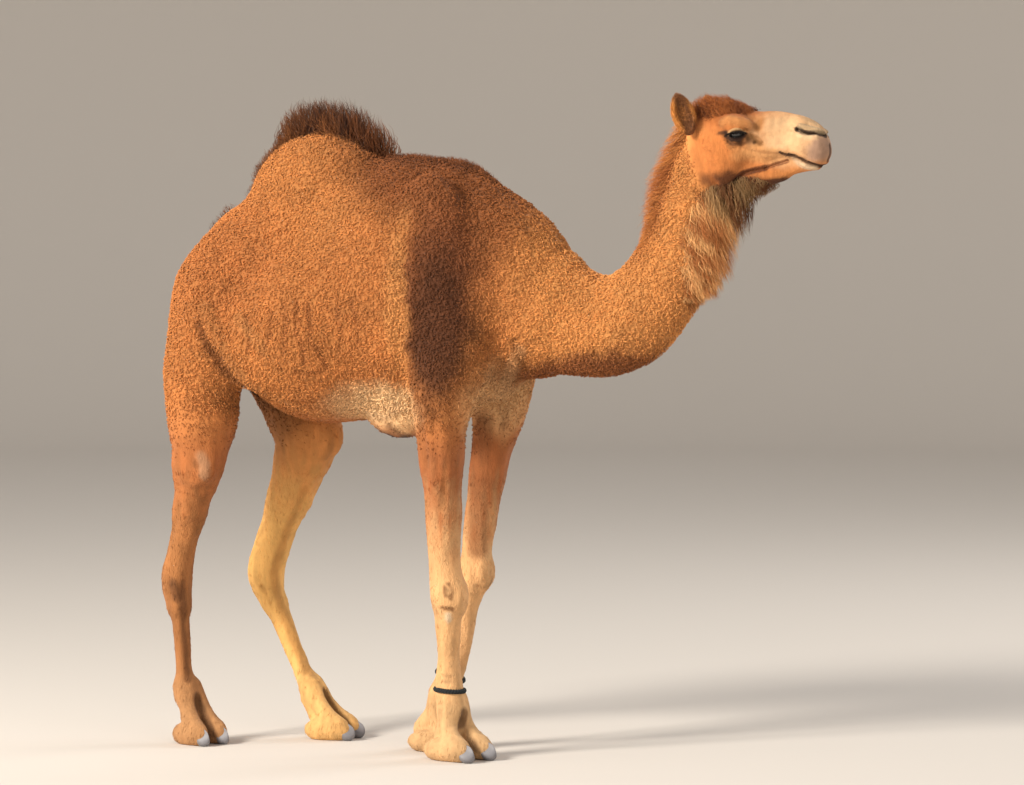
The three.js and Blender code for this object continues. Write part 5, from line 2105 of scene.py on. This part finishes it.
@dataclass
class ShortHair:
    """Tufts all over a part of the body."""

    name: str
    slot: str
    where: Callable[[np.ndarray], np.ndarray]  # how thick it grows at points, from 0
    tries: int
    spacing: float
    length: tuple[float, float]
    width: float
    lift: float
    curl: float
    toward: Vec
    spread: float  # how far tufts turn from their direction, radians
    pull: float = 0.0
    clump: float = 26.0
    tone: float = 1.0  # how much lighter it is than the markings
    sunk: float = 0.8  # how deep its roots are in the skin

    def grow(self, bed: Bed, coat: Coat, markings: Markings,
             rng: np.random.Generator) -> list[bpy.types.Object]:
        """Sows the roots and grows the tufts.

        Args:
            bed: the skin.
            coat: what makes tufts.
            markings: the colours of the coat.
            rng: source of chance.

        Returns:
            The pieces of hair.
        """
        roots = bed.sow(self.tries, self.where, self.spacing)
        roots = roots.only((self.where(roots.p) > 0.02) & (roots.p[:, 2] > 6))
        count = len(roots.p)
        along = lie(roots, np.array(self.toward), self.spread, rng)
        # wool is shorter where it thins out
        wool = woolly(roots.p)
        fade = np.where(wool > 0, 0.4 + 0.6 * ramp(wool, 0.0, 0.8), 1)
        length = rng.uniform(*self.length, count) * fade
        colour = self.tone * markings(roots.p) * rng.uniform(0.82, 1.16, count)[:, None]
        width = self.width * rng.uniform(0.7, 1.3, count)
        lift = self.lift * fade * rng.uniform(0.6, 1.2, count)
        curl = self.curl * rng.uniform(0.5, 1.3, count)
        growth = Growth(Roots(roots.p - roots.n * self.sunk, roots.n), along, length, width,
                        thick=np.full(count, self.width * 0.5), lift=lift, curl=curl,
                        turn=rng.uniform(2.5, 5.5, count), droop=np.zeros(count), colour=colour, rings=2,
                        pull=self.pull, clump=self.clump)
        return coat.grow(self.name, growth, self.slot)


def on_head(p: np.ndarray) -> np.ndarray:
    """1 on the head, clear of its eyes, nostrils and lips."""
    eye = np.linalg.norm(folded(p) - np.array(EYE_AT), axis=1)
    return ((p[:, 0] > 1335) & (p[:, 2] > 1700) & (eye > 34) & (p[:, 0] < 1700)).astype(float)


def on_legs(p: np.ndarray) -> np.ndarray:
    """How thick the leg's hair is: it thins toward the foot."""
    return ((woolly(p) < 0.6) & (p[:, 0] < 1000)) * (0.25 + 0.75 * ramp(p[:, 2], 350, 900))


SHORT_HAIR = [
    ShortHair("wool_trunk", "wool", lambda p: ramp(woolly(p), -0.05, 0.9) * (p[:, 0] < 730), 125000, 5.9,
              (10, 18), 4.2, 8.0, 4.5, (-0.55, 0, -0.8), 1.2, pull=0.45, clump=15),
    ShortHair("wool_neck", "neck_wool", lambda p: ramp(woolly(p), 0.0, 0.6) * (p[:, 0] >= 730), 34000, 5.8,
              (11, 20), 3.9, 8.0, 4.8, (-0.75, 0, -0.65), 1.2, pull=0.45, clump=15),
    ShortHair("hair_legs", "leg_hair", on_legs, 17000, 6.6, (14, 22), 1.9, 1.2, 0.8, (-0.12, 0, -1.0), 0.22,
              tone=1.12),
    ShortHair("hair_face", "face_hair", on_head, 14000, 3.3, (9, 15), 1.0, 0.7, 0.7, (-0.9, 0, -0.4), 0.25,
              tone=1.1),
]


SHADE_UNDER_WOOL = 0.32  # painted shade: how much darker the skin is under wool, as in the shade deep between the locks
FLESH_NODES = ["head", "lower_jaw", "neck_upper", "neck_lower", "hump", "trunk", "tail"] + [
    f"{leg}_{part}" for leg in LEGS for part in ("upper", "lower", "foot")]


def report(*pieces: bpy.types.Object) -> None:
    """Logs each piece with the number of its faces."""
    for piece in pieces:
        log.info("%s: %d faces", piece.name, len(piece.data.polygons))


def main() -> None:
    """Builds the pieces in order."""
    logging.basicConfig(level=logging.INFO, format="%(message)s")
    rng = np.random.default_rng(SEED)
    shades = {shade: shade.value.make() for shade in Shade}
    skin = Skin(Flesh()).build()
    markings = Markings()
    points = points_of(skin.data)
    # painted shade: the skin under wool is darkened, as deep between the locks
    shade = 1 - SHADE_UNDER_WOOL * woolly(points)
    painted(skin, markings(points) * shade[:, None], shades[Shade.SKIN])
    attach(skin, "root")
    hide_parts(*FLESH_NODES)
    report(skin)
    coat = Coat(rng, shades[Shade.COAT])
    for side in Side:
        eye = Eye(side, shades[Shade.EYE], shades[Shade.SKIN], markings)
        report(*eye.build(), *eye.lashes(coat, rng))
        ear = Ear(side, shades[Shade.SKIN])
        cup = ear.build()
        report(cup, *ear.fuzz(cup, coat, rng))
    report(*Nails(shades[Shade.NAIL]).build())
    for band in BANDS:
        report(Hobble(*band, shades[Shade.ROPE]).build())
    bed = Bed(skin, rng)
    for hair in [*LONG_HAIR, *SHORT_HAIR]:
        report(*hair.grow(bed, coat, markings, rng))
    log.info("coat: %d triangles", coat.triangles)
    Studio().build(shades[Shade.FLOOR])
    log.info("studio: %d lights", len(LAMPS))


if __name__ == "__main__":
    main()
